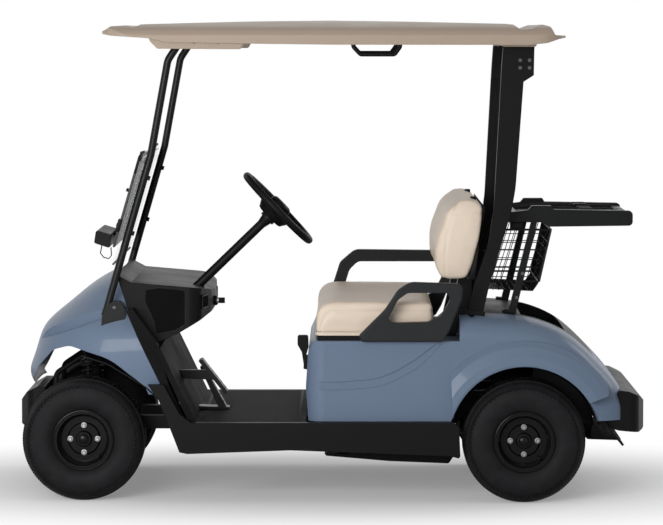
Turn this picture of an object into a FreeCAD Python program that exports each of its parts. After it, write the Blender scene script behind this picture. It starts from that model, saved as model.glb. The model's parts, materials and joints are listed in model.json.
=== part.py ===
import FreeCAD, Part
import math
import os
import re
from functools import cache

import Sketcher
from FreeCAD import Placement, Rotation, Vector

# Two-seat golf cart. Millimetres, +Z up, the front at -X, the driver's side at -Y.
# The origin is on the ground, midway between the ends and midway between the sides.

doc = FreeCAD.newDocument("golf_cart")
dims = doc.addObject("Spreadsheet::Sheet", "dims")

SIZES = [
    # Wheels and axles
    ("front_axle_x", -922, "front axle line"),
    ("rear_axle_x", 718, "rear axle line"),
    ("front_hub_y", 435, "front wheel centre from the middle"),
    ("rear_hub_y", 490, "rear wheel centre from the middle"),
    ("tyre_radius", 228.6, "outer radius of a tyre"),
    ("tyre_width", 216, "section width of a tyre"),
    ("bead_radius", 101.6, "radius of the bead seat"),
    ("bead_width", 172, "width between the rim flanges"),
    ("flange_height", 10, "height of a rim flange over its seat"),
    ("rim_wall", 4, "thickness of the rim steel"),
    ("disc_offset", 26, "wheel disc outboard of the wheel centre"),
    ("spindle_radius", 12, "radius of a wheel spindle"),
    ("running_fit", 0.05, "radial clearance of a pin in its bore"),
    # Steering
    ("kingpin_y", 312, "kingpin from the middle"),
    ("kingpin_radius", 8, "radius of a kingpin"),
    ("knuckle_radius", 16, "radius of the knuckle barrel"),
    ("knuckle_low", 184, "bottom of the knuckle barrel"),
    ("knuckle_high", 274, "top of the knuckle barrel"),
    ("steer_arm", 110, "kingpin to tie rod pin"),
    ("steer_arm_low", 192, "underside of a steering arm"),
    ("steer_plate", 12, "thickness of a steering arm"),
    ("tie_rod_radius", 9, "radius of the tie rod"),
    ("tie_pin_radius", 6, "radius of a tie rod pin"),
    ("open_pin_gap", 1.0, "radial clearance at a loose pin"),
    ("column_y", 285, "steering column from the middle"),
    ("wheel_hub_x", -200, "steering wheel hub"),
    ("wheel_hub_z", 1082, "steering wheel hub"),
    ("column_pitch", 44, "angle of the column over level"),
    ("column_length", 560, "length of the column"),
    ("column_radius", 17, "radius of the column jacket"),
    ("grip_ring_radius", 168, "radius of the steering wheel rim's middle"),
    ("grip_radius", 14, "radius of the steering wheel rim's section"),
    # Chassis
    ("rail_y", 160, "inner face of a frame rail"),
    ("rail_width", 40, "width of a frame rail"),
    ("rail_wall", 4, "wall of a frame rail's tube"),
    ("rail_low", 235, "underside of a frame rail"),
    ("rail_high", 285, "top of a frame rail"),
    ("rail_rise", 95, "rise of a rail over the rear axle"),
    ("rail_front", -1090, "front end of the rails"),
    ("rail_rear", 1081.7, "rear end of the rails"),
    ("tow_radius", 8, "radius of the towing hole"),
    ("floor_top", 302, "top of the floor"),
    ("floor_thickness", 17, "thickness of the floor"),
    ("floor_front", -500, "front edge of the floor"),
    ("floor_rear", -92, "rear edge of the floor"),
    ("sill_half", 598, "outer face of a sill, half the cart's width"),
    ("sill_wall", 34, "thickness of a sill"),
    ("sill_low", 178, "underside of a sill"),
    ("body_inset", 38, "side of the rear body inside the sill's outer face"),
    ("body_half", "=sill_half - body_inset", "half width of the rear body"),
    ("panel_wall", 6, "thickness of a moulded body panel"),
    ("flare_out", 37, "a rear wheel flare's face outside the rear body's side"),
    ("flare_half", "=body_half + flare_out", "half width over the rear wheel flares"),
    ("arch_radius", 281, "radius of the rear wheel arch"),
    ("flare_radius", 375, "radius of the crease round a rear wheel flare"),
    ("cover_half", 375, "half width of the dark deck cover"),
    ("cover_front", 500, "front edge of the deck cover"),
    ("cover_rear", 985, "rear edge of the deck cover"),
    ("well_half", 340, "half width of the bag well"),
    ("well_front", 708, "front wall of the bag well"),
    ("well_floor", 545, "floor of the bag well"),
    ("groove_depth", 3, "depth of the band pressed into the body's side"),
    # Cowl
    ("cowl_inset", 48, "side of the cowl inside the sill's outer face"),
    ("cowl_half", "=sill_half - cowl_inset", "half width of the cowl at the arches"),
    ("cowl_top", 836, "top of the cowl"),
    ("cowl_bottom", 400, "lower lip of the nose"),
    ("nose_x", -1152, "front of the nose"),
    ("dash_inset", 98, "end of the dash inside the cowl's side"),
    ("dash_half", "=cowl_half - dash_inset", "half width of the dash"),
    # Roof and its carriers
    ("roof_front", -848, "front edge of the roof"),
    ("roof_rear", 871, "rear edge of the roof"),
    ("roof_inset", 23, "side of the roof inside the sill's outer face"),
    ("roof_half", "=sill_half - roof_inset", "half width of the roof"),
    ("roof_low", 1698, "lower lip of the roof"),
    ("roof_edge", 1733, "upper edge of the roof's lip"),
    ("roof_crown", 1788, "top of the roof"),
    ("pod_low", 1690, "underside of the roof's rear pads"),
    ("roof_wall", 7, "thickness of the roof skin"),
    ("roof_corner", 110, "corner radius of the roof in plan"),
    ("strut_inset", 95, "front roof strut inside the roof's side"),
    ("strut_y", "=roof_half - strut_inset", "front roof strut from the middle"),
    ("strut_radius", 14, "radius of a front roof strut"),
    ("pillar_inset", 165, "inner face of a rear pillar inside the roof's side"),
    ("pillar_y", "=roof_half - pillar_inset", "inner face of a rear pillar"),
    ("pillar_width", 45, "width of a rear pillar"),
    # Seats
    ("cushion_inset", 27, "side of the seat cushion inside the rear body's side"),
    ("cushion_half", "=body_half - cushion_inset", "half width of the seat cushion"),
    ("cushion_low", 602.3, "underside of the seat cushion"),
    ("cushion_top", 748, "top of the seat cushion"),
    ("cushion_front", -60, "front of the seat cushion"),
    ("cushion_rear", 384, "rear of the seat cushion"),
    ("back_inset", 82, "side of the backrest inside the rear body's side"),
    ("back_half", "=body_half - back_inset", "half width of the backrest"),
    ("armrest_y", "=cushion_half + 20", "inner face of an armrest"),
    ("armrest_width", 42, "width of an armrest"),
    ("soft_gap", 0.3, "clearance round a soft piece"),
    # Windshield
    ("pane_half", "=strut_y + strut_radius", "half width of a windshield pane"),
    ("pane_wall", 6, "thickness of a windshield pane"),
    ("pane_gap", 10, "gap between the folded panes"),
    ("upper_pane", 366, "height of the upper pane"),
    # Rear rack
    ("rack_inset", 273, "inner face of a rack post inside the rear body's side"),
    ("rack_y", "=body_half - rack_inset", "inner face of a rack post"),
    ("rack_tube", 26, "width of a rack post"),
    ("basket_inset", 2, "side of the basket inside a rack post"),
    ("basket_wall", 6, "thickness of the basket's sheet"),
    # Powertrain
    ("axle_tube_radius", 34, "radius of the rear axle tube"),
    ("engine_length", 330, "length of the engine"),
    ("engine_width", 250, "width of the engine"),
    ("engine_height", 230, "height of the engine"),
]
for line, (alias, value, meaning) in enumerate(SIZES, start=1):
    dims.set(f"A{line}", meaning)
    dims.set(f"B{line}", str(value))
    dims.setAlias(f"B{line}", alias)
doc.recompute()

SIDES = (("left", -1), ("right", 1))
subparts = []


def size(alias):
    return float(dims.get(alias))


def bound(text):
    """An expression in the sheet's names, with the sheet's own name put before each."""
    return re.sub(r"[a-z]+(_[a-z]+)+", r"dims.\g<0>", str(text))


def bind(item, path, text):
    item.setExpression(path, bound(text))


def keep(item, label):
    item.Label = label
    subparts.append(item)
    return item


# Sketched pieces

def sketch(body, name, role, corners, lift="0"):
    """A closed outline on one of the body's own planes, each corner held by two bound sizes."""
    drawing = body.newObject("Sketcher::SketchObject", name)
    plane = next(item for item in body.Origin.OriginFeatures if item.Role == role)
    drawing.AttachmentSupport = (plane, [""])
    drawing.MapMode = "FlatFace"
    count = len(corners)
    spots = []
    for index in range(count):
        turn = 2 * math.pi * index / count
        spots.append(Vector(100 * math.cos(turn), 100 * math.sin(turn), 0))
    for index in range(count):
        drawing.addGeometry(Part.LineSegment(spots[index], spots[(index + 1) % count]), False)
    for index in range(count):
        drawing.addConstraint(Sketcher.Constraint("Coincident", index, 2, (index + 1) % count, 1))
    for index, corner in enumerate(corners):
        for kind, text in zip(("DistanceX", "DistanceY"), corner):
            number = drawing.addConstraint(Sketcher.Constraint(kind, -1, 1, index, 1, 10.0))
            bind(drawing, f"Constraints[{number}]", text)
    bind(drawing, "AttachmentOffset.Base.z", lift)
    return drawing


def slab(label, corners, low_y, width):
    """A side outline in X and Z, padded towards +Y from low_y."""
    body = doc.addObject("PartDesign::Body", label)
    pad = body.newObject("PartDesign::Pad", label + "_pad")
    pad.Profile = sketch(body, label + "_side", "XZ_Plane", corners, f"-({low_y})")
    pad.Reversed = True
    bind(pad, "Length", width)
    return body


def pair(label, body):
    """One sub-part of two solids: the body on the -Y side and its mirror image."""
    image = doc.addObject("Part::Mirroring", label + "_image")
    image.Source = body
    image.Normal = (0, 1, 0)
    both_sides = doc.addObject("Part::Compound", label)
    both_sides.Links = [body, image]
    return keep(both_sides, label)


def spun(label, corners, x, y, z, outward):
    """A section of radius and distance outward, turned about the line along Y through x, y, z."""
    body = doc.addObject("PartDesign::Body", label)
    turned = [(radius, f"{outward} * ({along})") for radius, along in corners]
    round_feature = body.newObject("PartDesign::Revolution", label + "_turn")
    profile = sketch(body, label + "_section", "XY_Plane", turned)
    round_feature.Profile = profile
    round_feature.ReferenceAxis = (profile, ["V_Axis"])
    round_feature.Angle = 360
    for axis, text in zip("xyz", (x, y, z)):
        bind(body, f"Placement.Base.{axis}", text)
    return body


# Pieces from Part's own functions

def feature(label, shape):
    item = doc.addObject("Part::Feature", label)
    item.Shape = shape
    item.Placement = Placement()
    return keep(item, label)


def loop(corners, to_3d):
    """A closed wire of straight runs; a corner given a third number is rounded to that radius."""
    count = len(corners)
    edges = []
    spots = []
    for index in range(count):
        before, here, after = (Vector(*corners[(index + step) % count][:2], 0) for step in (-1, 0, 1))
        radius = corners[index][2] if len(corners[index]) > 2 else 0
        if not radius:
            spots.append((here, here, here))
            continue
        back = (before - here).normalize()
        ahead = (after - here).normalize()
        half = back.getAngle(ahead) / 2
        reach = radius / math.tan(half)
        centre = here + (back + ahead).normalize() * (radius / math.sin(half))
        middle = centre + (here - centre).normalize() * radius
        spots.append((here + back * reach, middle, here + ahead * reach))
    for index in range(count):
        start, middle, end = spots[index]
        if (start - end).Length > 1e-6:
            edges.append(Part.Arc(*(to_3d(spot) for spot in (start, middle, end))).toShape())
        following = spots[(index + 1) % count][0]
        if (end - following).Length > 1e-6:
            edges.append(Part.LineSegment(to_3d(end), to_3d(following)).toShape())
    return Part.Wire(edges)


def side_slab(corners, low, high):
    """A solid of a side outline in X and Z between two Y places."""
    face = Part.Face(loop(corners, lambda spot: Vector(spot.x, low, spot.y)))
    return face.extrude(Vector(0, high - low, 0))


def fused(shapes):
    return shapes[0].multiFuse(shapes[1:]).removeSplitter()


def plan_slab(corners, low, high):
    """A solid of a plan outline in X and Y between two heights."""
    face = Part.Face(loop(corners, lambda spot: Vector(spot.x, spot.y, low)))
    return face.extrude(Vector(0, 0, high - low))


def both(shape):
    """The shape and its mirror image on the other side of the cart."""
    return shape, shape.mirror(Vector(0, 0, 0), Vector(0, 1, 0))


def mirrored_solid(shape, side):
    return shape if side < 0 else shape.mirror(Vector(0, 0, 0), Vector(0, 1, 0))


def rod(start, end, radius):
    start, end = Vector(*start), Vector(*end)
    return Part.makeCylinder(radius, (end - start).Length, start, end - start)


def bent_rod(points, radius, bend):
    """A round bar along straight runs joined by tangent arcs of one radius."""
    spots = [Vector(*point) for point in points]
    edges = []
    start = spots[0]
    for before, here, after in zip(spots, spots[1:], spots[2:]):
        back = (before - here).normalize()
        ahead = (after - here).normalize()
        half = back.getAngle(ahead) / 2
        reach = bend / math.tan(half)
        centre = here + (back + ahead).normalize() * (bend / math.sin(half))
        middle = centre + (here - centre).normalize() * bend
        edges.append(Part.LineSegment(start, here + back * reach).toShape())
        edges.append(Part.Arc(here + back * reach, middle, here + ahead * reach).toShape())
        start = here + ahead * reach
    edges.append(Part.LineSegment(start, spots[-1]).toShape())
    path = Part.Wire(edges)
    section = Part.Wire(Part.makeCircle(radius, spots[0], spots[1] - spots[0]))
    return path.makePipeShell([section], True, True)


# Wheels

def wheel(end, label, side):
    hub_x, hub_y = f"{end}_axle_x", f"{side} * {end}_hub_y"
    half = "bead_width / 2"
    tyre = spun(f"tyre_{end}_{label}", [
        ("bead_radius", f"5 - {half}"),
        ("tyre_radius * 0.72", "-tyre_width / 2"),
        ("tyre_radius * 0.93", "-tyre_width / 2 + 13"),
        ("tyre_radius", "-tyre_width / 2 + 44"),
        ("tyre_radius", "tyre_width / 2 - 44"),
        ("tyre_radius * 0.93", "tyre_width / 2 - 13"),
        ("tyre_radius * 0.72", "tyre_width / 2"),
        ("bead_radius", f"{half} - 5"),
    ], hub_x, hub_y, "tyre_radius", side)
    keep(tyre, f"tyre_{end}_{label}")
    flange = "bead_radius + flange_height"
    rim = spun(f"rim_{end}_{label}", [
        (flange, half), (flange, f"{half} + rim_wall"),
        ("bead_radius - rim_wall", f"{half} + rim_wall"),
        ("bead_radius - rim_wall", "bead_width / 2 - 26"),
        ("bead_radius - 16", "disc_offset + 22"),
        ("bead_radius - 16", "disc_offset + rim_wall"),
        ("62", "disc_offset + rim_wall"), ("56", "disc_offset + 12"),
        ("31", "disc_offset + 12"), ("26", "disc_offset + 26"), ("0", "disc_offset + 26"),
        ("0", "disc_offset + 18"), ("spindle_radius + running_fit", "disc_offset + 18"),
        ("spindle_radius + running_fit", "disc_offset - 40"), ("24", "disc_offset - 40"),
        ("26", "disc_offset + 4"), ("56", "disc_offset + 4"), ("64", "disc_offset"),
        ("bead_radius - 20", "disc_offset"), ("bead_radius - 20", "disc_offset - 26"),
        ("bead_radius - rim_wall", "disc_offset - 46"), ("bead_radius - rim_wall", f"-{half} - rim_wall"),
        (flange, f"-{half} - rim_wall"), (flange, f"-{half}"), ("bead_radius", f"-{half}"),
        ("bead_radius", "disc_offset - 44"), ("bead_radius - 16", "disc_offset - 24"),
        ("bead_radius - 12", "disc_offset + 22"),
        ("bead_radius", "bead_width / 2 - 24"), ("bead_radius", half),
    ], hub_x, hub_y, "tyre_radius", side)
    keep(rim, f"rim_{end}_{label}")


for wheel_end in ("front", "rear"):
    for side_label, side_sign in SIDES:
        wheel(wheel_end, side_label, side_sign)


# Steering and front suspension

def front_corner(label, side):
    """The knuckle of one side, made for -Y and mirrored for +Y."""
    axle_x, pin_y, hub_z = size("front_axle_x"), -size("kingpin_y"), size("tyre_radius")
    low, high = size("knuckle_low"), size("knuckle_high")
    barrel = rod((axle_x, pin_y, low), (axle_x, pin_y, high), size("knuckle_radius"))
    disc_face = -(size("front_hub_y") + size("disc_offset"))
    spindle = rod((axle_x, pin_y, hub_z), (axle_x, disc_face - 16, hub_z), size("spindle_radius"))
    shoulder = rod((axle_x, pin_y, hub_z), (axle_x, disc_face + 41, hub_z), size("spindle_radius") + 6)
    arm_low = size("steer_arm_low")
    arm = Part.makeBox(size("steer_arm"), 24, size("steer_plate"),
                       Vector(axle_x, pin_y - 12, arm_low))
    pin_x = axle_x + size("steer_arm")
    arm_end = rod((pin_x, pin_y, arm_low), (pin_x, pin_y, arm_low + size("steer_plate")), 13)
    knuckle = fused([barrel, spindle, shoulder, arm, arm_end])
    bore = rod((axle_x, pin_y, low - 1), (axle_x, pin_y, high + 1),
               size("kingpin_radius") + size("running_fit"))
    clearance = size("running_fit") if side < 0 else size("open_pin_gap")
    pin_hole = rod((pin_x, pin_y, arm_low - 1), (pin_x, pin_y, arm_low + 20),
                   size("tie_pin_radius") + clearance)
    feature(f"knuckle_{label}", mirrored_solid(knuckle.cut(bore).cut(pin_hole), side))


def front_suspension():
    """Lower arms with the kingpin yokes at their ends, and the coil struts on the yokes."""
    axle_x, pin_y = size("front_axle_x"), -size("kingpin_y")
    low, high = size("knuckle_low"), size("knuckle_high")
    ear = 12
    gap = 0.3
    ears = [rod((axle_x, pin_y, place), (axle_x, pin_y, place + ear), 18)
            for place in (low - gap - ear, high + gap)]
    web = Part.makeBox(20, 12, high - low + 2 * (gap + ear),
                       Vector(axle_x - 10, pin_y + 27, low - gap - ear))
    caps = [Part.makeBox(36, 39, ear, Vector(axle_x - 18, pin_y, place))
            for place in (low - gap - ear, high + gap)]
    kingpin = rod((axle_x, pin_y, low - gap - ear), (axle_x, pin_y, high + gap + ear),
                  size("kingpin_radius"))
    rail_face = -(size("rail_y") + size("rail_width"))
    leg_z = low - gap - ear / 2
    legs = [rod((axle_x + spread * 0.3, pin_y + 28, leg_z), (axle_x + spread, rail_face + 12, leg_z), 9)
            for spread in (-55, 55)]
    for spread in (-55, 55):
        legs.append(Part.makeBox(24, 16, size("rail_low") - leg_z + 9,
                                 Vector(axle_x + spread - 12, rail_face + 4, leg_z - 9)))
    arm_solid = fused(ears + [web] + caps + [kingpin] + legs)
    feature("lower_arms", Part.makeCompound(list(both(arm_solid))))
    strut_y = pin_y + 64
    foot = Part.makeBox(36, 41, ear, Vector(axle_x - 18, pin_y + 39, high + gap))
    damper = rod((axle_x, strut_y, high + gap + 4), (axle_x, strut_y, 530), 12)
    coil = rod((axle_x, strut_y, 340), (axle_x, strut_y, 500), 28)
    feature("coil_struts", Part.makeCompound(list(both(fused([foot, damper, coil])))))


for side_label, side_sign in SIDES:
    front_corner(side_label, side_sign)
front_suspension()


def tie_rod():
    pin_x = size("front_axle_x") + size("steer_arm")
    pin_y = size("kingpin_y")
    arm_top = size("steer_arm_low") + size("steer_plate")
    rod_z = arm_top + 13
    bar = rod((pin_x, -pin_y, rod_z), (pin_x, pin_y, rod_z), size("tie_rod_radius"))
    pieces = [bar]
    for place in (-pin_y, 0, pin_y):
        pieces.append(rod((pin_x, place, arm_top + 0.3), (pin_x, place, rod_z + 11), 13))
        pieces.append(rod((pin_x, place, size("steer_arm_low")),
                          (pin_x, place, rod_z), size("tie_pin_radius")))
    feature("tie_rod", fused(pieces))


def pitman_arm():
    axle_x = size("front_axle_x")
    pin_x = axle_x + size("steer_arm")
    low = size("steer_arm_low")
    high = low + size("steer_plate")
    plate = Part.makeBox(size("steer_arm"), 24, size("steer_plate"), Vector(axle_x, -12, low))
    ends = [rod((place, 0, low), (place, 0, high), 14) for place in (axle_x, pin_x)]
    shaft = rod((axle_x, 0, low), (axle_x, 0, high + 60), 11)
    hole = rod((pin_x, 0, low - 1), (pin_x, 0, high + 1),
               size("tie_pin_radius") + size("open_pin_gap"))
    feature("pitman_arm", fused([plate] + ends + [shaft]).cut(hole))


def steering_gear():
    axle_x = size("front_axle_x")
    low = size("steer_arm_low") + size("steer_plate") + 14
    body = side_slab([(axle_x - 34, low, 10), (axle_x + 34, low, 10), (axle_x + 34, low + 60, 10),
                      (axle_x + 20, low + 96, 12), (axle_x - 20, low + 96, 12),
                      (axle_x - 34, low + 60, 10)], -60, 34)
    bore = rod((axle_x, 0, low - 1), (axle_x, 0, low + 47.5), 11 + size("running_fit"))
    arms = Part.makeBox(40, 2 * size("rail_y"), 12, Vector(axle_x - 20, -size("rail_y"), size("rail_high") - 14))
    feature("steering_gear", body.fuse(arms).removeSplitter().cut(bore))


tie_rod()
pitman_arm()
steering_gear()


def column_frame():
    """Where the hub is, and the direction from it down the column."""
    pitch = math.radians(size("column_pitch"))
    hub = Vector(size("wheel_hub_x"), -size("column_y"), size("wheel_hub_z"))
    return hub, Vector(-math.cos(pitch), 0, -math.sin(pitch))


def steering_wheel():
    hub, down = column_frame()
    ring = Part.makeTorus(size("grip_ring_radius"), size("grip_radius"), hub, down)
    across = Vector(0, 1, 0)
    up = down.cross(across).normalize()
    boss = rod(hub - down * 12, hub + down * 48, 46)
    dish = Part.makeCone(80, 54, 42, hub + down * 4, down)
    pieces = [ring, boss, dish]
    for direction in (across, across * -1, up * -1):
        spoke = rod(hub + down * 18, hub + direction * size("grip_ring_radius"), 11)
        pieces.append(spoke)
    pieces.append(rod(hub + down * 40, hub + down * 110, 10))
    feature("steering_wheel", fused(pieces))


def steering_column():
    hub, down = column_frame()
    top = hub + down * 54
    bottom = hub + down * size("column_length")
    jacket = rod(top, bottom, size("column_radius"))
    bell = Part.makeCone(25, size("column_radius"), 34, top, down)
    bore = rod(top - down * 2, hub + down * 112, 10 + size("running_fit"))
    feature("steering_column", jacket.fuse(bell).removeSplitter().cut(bore))


steering_wheel()


# Frame

def rail_outline(inset):
    """The side of a rail, raised over the rear axle; the inner one runs out at both ends."""
    end = 2 if inset != "0" else 0
    return [(f"rail_front - {end}", f"rail_low + {inset}"), ("450", f"rail_low + {inset}"),
            ("560", f"rail_low + rail_rise + {inset}"),
            (f"rail_rear + {end}", f"rail_low + rail_rise + {inset}"),
            (f"rail_rear + {end}", f"rail_high + rail_rise - {inset}"),
            ("545", f"rail_high + rail_rise - {inset}"), ("435", f"rail_high - {inset}"),
            (f"rail_front - {end}", f"rail_high - {inset}")]


def rails():
    tube = doc.addObject("Part::Cut", "frame_rail")
    tube.Base = slab("frame_rail_outside", rail_outline("0"), "-rail_y - rail_width", "rail_width")
    tube.Tool = slab("frame_rail_inside", rail_outline("rail_wall"), "-rail_y - rail_width + rail_wall",
                     "rail_width - 2 * rail_wall")
    pair("frame_rails", tube)
    low, high, inner = size("rail_low"), size("rail_high"), size("rail_y")
    lift = size("rail_rise")
    bars = []
    for place, raised in ((size("rail_front"), 0), (-600, 0), (-120, 0), (390, 0), (1035, lift)):
        bars.append(Part.makeBox(40, 2 * inner, high - low, Vector(place, -inner, low + raised)))
    tow_x = size("rail_front") + 20
    bars[0] = bars[0].cut(rod((tow_x, 0, low - 1), (tow_x, 0, high + 1), size("tow_radius")))
    reach = size("sill_half") - size("sill_wall")
    outer = inner + size("rail_width")
    for place in (-480, -10, 380):
        for start in (-reach, outer):
            bars.append(Part.makeBox(36, reach - outer, 30, Vector(place, start, high - 30)))
    brace = bent_rod([(-1050, -outer + 20, high), (-1050, -outer + 20, 445),
                      (-932, -outer + 20, 524), (-690, -outer + 20, 600)], 10, 30)
    bars.extend(both(brace.cut(dash_block())))
    feature("cross_members", Part.makeCompound(bars))


def floor_and_sills():
    floor = slab("floor_pan", [("floor_front", "floor_top - floor_thickness"),
                               ("floor_rear", "floor_top - floor_thickness"),
                               ("floor_rear", "floor_top"), ("floor_front", "floor_top")],
                 "-sill_half + sill_wall", "2 * (sill_half - sill_wall)")
    keep(floor, "floor_pan")
    outline = [("-676", "443"), ("-637", "388"), ("-595", "283"), ("-560", "sill_low + 14"),
               ("-530", "sill_low + 8"), ("-149", "sill_low + 22"), ("443", "sill_low"),
               ("474", "sill_low - 8"), ("480", "sill_low"), ("476", "floor_top - 14"),
               ("450", "floor_top"), ("-520", "floor_top"), ("-560", "floor_top + 34"),
               ("-618", "443")]
    pair("sills", slab("sill", outline, "-sill_half", "sill_wall"))


floor_and_sills()


# Front cowl, its liners, the dash and the footwell

COWL_REAR = [(-634, 442), (-712, 604), (-758, 711), (-800, 842)]
HOOD = [(400, -1116), (443, -1150), (518, -1135), (567, -1120), (632, -1092), (681, -1040),
        (732, -978), (782, -914), (813, -862), (836, -806)]
COWL_SIDE = [(400, 0.965), (443, 0.985), (518, 1.0), (567, 1.0), (632, 0.975), (681, 0.915),
             (732, 0.84), (782, 0.81), (813, 0.79), (836, 0.76)]
ARCH_FRONT = [(-1150, 380), (-1099, 492, 30), (-1040, 558, 60), (-975, 578, 60), (-820, 533, 200),
              (-690, 432, 40), (-634, 300), (-634, 120), (-1150, 120)]


def plan_ring(height, front, half, rear):
    """A nose-shaped closed curve at one height, straight across its rear."""
    count, power = 6, 0.62
    spots = []
    for index in range(-count, count + 1):
        turn = math.pi / 2 * index / count
        along = abs(math.cos(turn)) ** power
        across = math.copysign(abs(math.sin(turn)) ** power, turn)
        spots.append(Vector(rear + (front - rear) * along, half * across, height))
    curve = Part.BSplineCurve()
    curve.interpolate(spots)
    return Part.Wire([curve.toShape(), Part.LineSegment(spots[-1], spots[0]).toShape()])


def cowl_block(inset):
    """The nose and both fenders in one full-width form."""
    rear = -560
    rings = []
    for (height, front), (_, share) in zip(HOOD, COWL_SIDE):
        rings.append(plan_ring(height, front + inset, size("cowl_half") * share - inset, rear))
    return Part.makeLoft(rings, True, False)


def recess(grow):
    """The space beside the hood and over the crease that climbs along a fender to the strut."""
    beside = plan_slab([(-1200, -700), (-400, -700), (-400, grow - 440), (-860, grow - 436, 300),
                        (-1010, grow - 390, 200), (-1130, grow - 220)], 400, 1300)
    above = side_slab([(-1300, 512 - grow), (-750, 715 - grow), (-400, 844 - grow), (-400, 1300),
                       (-1300, 1300)], -700, 700)
    piece = beside.common(above)
    return piece.fuse(piece.mirror(Vector(0, 0, 0), Vector(0, 1, 0)))


@cache
def cowl_outside():
    """The nose, hood and fenders as one solid."""
    return cowl_block(0).cut(recess(0))


def arch_cut(corners):
    low, high = size("front_hub_y") - 215, size("sill_half") + 60
    block = side_slab(corners, -high, -low)
    return block.fuse(block.mirror(Vector(0, 0, 0), Vector(0, 1, 0)))


@cache
def cowl_shell():
    wall = size("panel_wall")
    inner = cowl_block(wall).translated(Vector(0, 0, -wall)).cut(recess(wall))
    keep_side = side_slab([(-1260, 398)] + [(COWL_REAR[0][0], 398)] + COWL_REAR + [(-1260, 842)],
                          -700, 700)
    return cowl_outside().cut(inner).common(keep_side).cut(arch_cut(ARCH_FRONT))


def front_liners():
    """A sheet over the rear half of each front wheel, under the cowl's arch."""
    sheet_wall = 4
    line = [(-925, 548, 0), (-828, 517, 200), (-690, 434, 40), (-624, 372, 30), (-600, 288, 0)]
    back = [(x - 3, z - sheet_wall, r) for x, z, r in reversed(line)]
    solid = side_slab(line + back, -(size("cowl_half") - 12), -(size("rail_y") + size("rail_width") + 6))
    solid = solid.cut(footwell_strip()).cut(cowl_shell())
    return both(solid)


def dash_block():
    half = size("dash_half")
    side = side_slab([COWL_REAR[3], (-744, 812, 20), (-530, 794, 24), (-480, 788, 22), (-446, 770, 14),
                      (-441, 697, 22), (-572, 620, 40), (-640, 590), (-700, 575), COWL_REAR[1],
                      COWL_REAR[2]], -half, half)
    bow = plan_slab([(-900, -half), (-492, -half, 50), (-452, -260, 260), (-441, 0, 900),
                     (-452, 260, 260), (-492, half, 50), (-900, half)], 500, 900)
    return side.common(bow)


def dash():
    """The dash with an open pocket on each side of the column and a key plate between them."""
    hub, down = column_frame()
    tunnel = rod(hub, hub + down * 900, size("column_radius") + size("soft_gap"))
    pocket = [(-600, 776, 12), (-380, 750), (-380, 722), (-600, 694, 12)]
    block = dash_block().cut(tunnel)
    for low, high in ((70, size("dash_half") - 28), (28 - size("dash_half"), -335)):
        block = block.cut(side_slab(pocket, low, high))
    key = rod((-470, -150, 722), (-436, -150, 722), 19)
    feature("dash", fused([block, key]))


def footwell():
    reach = size("sill_half") - size("sill_wall")
    panel = side_slab([(-652, 575), (-632, 575), (-500, 302), (-500, 285), (-520, 285)],
                      -reach, reach)
    strip = footwell_strip()
    whole = fused([panel] + list(both(strip)))
    feature("kick_panel", whole)


def footwell_strip():
    return side_slab([COWL_REAR[2], (-735, 720), (-650, 604), (-602, 442), (-540, 303),
                       (-618, 303), COWL_REAR[0], COWL_REAR[1]],
                     -(size("cowl_half") - 4), -size("dash_half"))


def front_bumper():
    """A blunt bumper, bowed in plan."""
    side = side_slab([(-1090.5, 397, 4), (-1120, 397, 10), (-1162, 374, 14), (-1180, 350, 12),
                      (-1197, 326, 10), (-1197, 250, 14), (-1160, 236, 12), (-1090.5, 236, 4)],
                     -215, 215)
    bow = plan_slab([(-1080, -205), (-1150, -205, 40), (-1188, -120, 120), (-1197, 0, 300),
                     (-1188, 120, 120), (-1150, 205, 40), (-1080, 205)], 200, 420)
    feature("front_bumper", side.common(bow))


steering_column()
feature("front_cowl", cowl_shell())
dash()
rails()
footwell()
front_bumper()


def pedals():
    """A brake pedal and a throttle pedal on feet that stand off the toe board."""
    behind = side_slab([(-900, 575), (-632, 575), (-500, 302.3), (-900, 302.3)], -600, 600)
    brake = [side_slab([(-505, 500, 4), (-489, 506, 4), (-392, 382, 4), (-402, 370, 6)], -252, -178),
             side_slab([(-620, 462), (-474, 462), (-444, 424), (-620, 432)], -226, -204)]
    throttle = [side_slab([(-503, 466, 4), (-488, 472, 4), (-402, 316, 4), (-404, 304.3),
                           (-428, 304.3)], -150, -96),
                side_slab([(-560, 304.3), (-388, 304.3), (-390, 313, 4), (-560, 318)], -160, -86)]
    feature("pedals", Part.makeCompound([fused(brake).cut(behind), fused(throttle).cut(behind)]))


def direction_lever():
    lever = side_slab([(-126, 604, 8), (-86, 604, 8), (-84, 560, 8), (-96, 520, 10), (-80, 486),
                       (-102, 486, 4), (-110, 540, 8), (-126, 568, 8)], -332, -306)
    base = side_slab([(-104, 478, 4), (-60, 470), (-60, 528), (-100, 528, 6)], -344, -294)
    feature("direction_lever", fused([lever, base]).cut(front_half(0)))


pedals()


# Rear body

# Stations along the body behind the seat: place, height of the middle, half width's inset
STATIONS = [(478, 704, 0), (566, 700, 0), (655, 694, 0), (740, 682, 0), (833, 652, 0), (896, 617, 2),
            (950, 572, 8), (1000, 522, 20), (1050, 468, 42), (1088, 416, 76)]
REAR_ARCH_Z = 229
SIDE_BAND = [(-120, 420), (30, 420, 300), (200, 432, 300), (330, 505, 200), (411, 590), (396, 596),
             (310, 530, 200), (190, 462, 300), (30, 450, 300), (-120, 450)]


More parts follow.
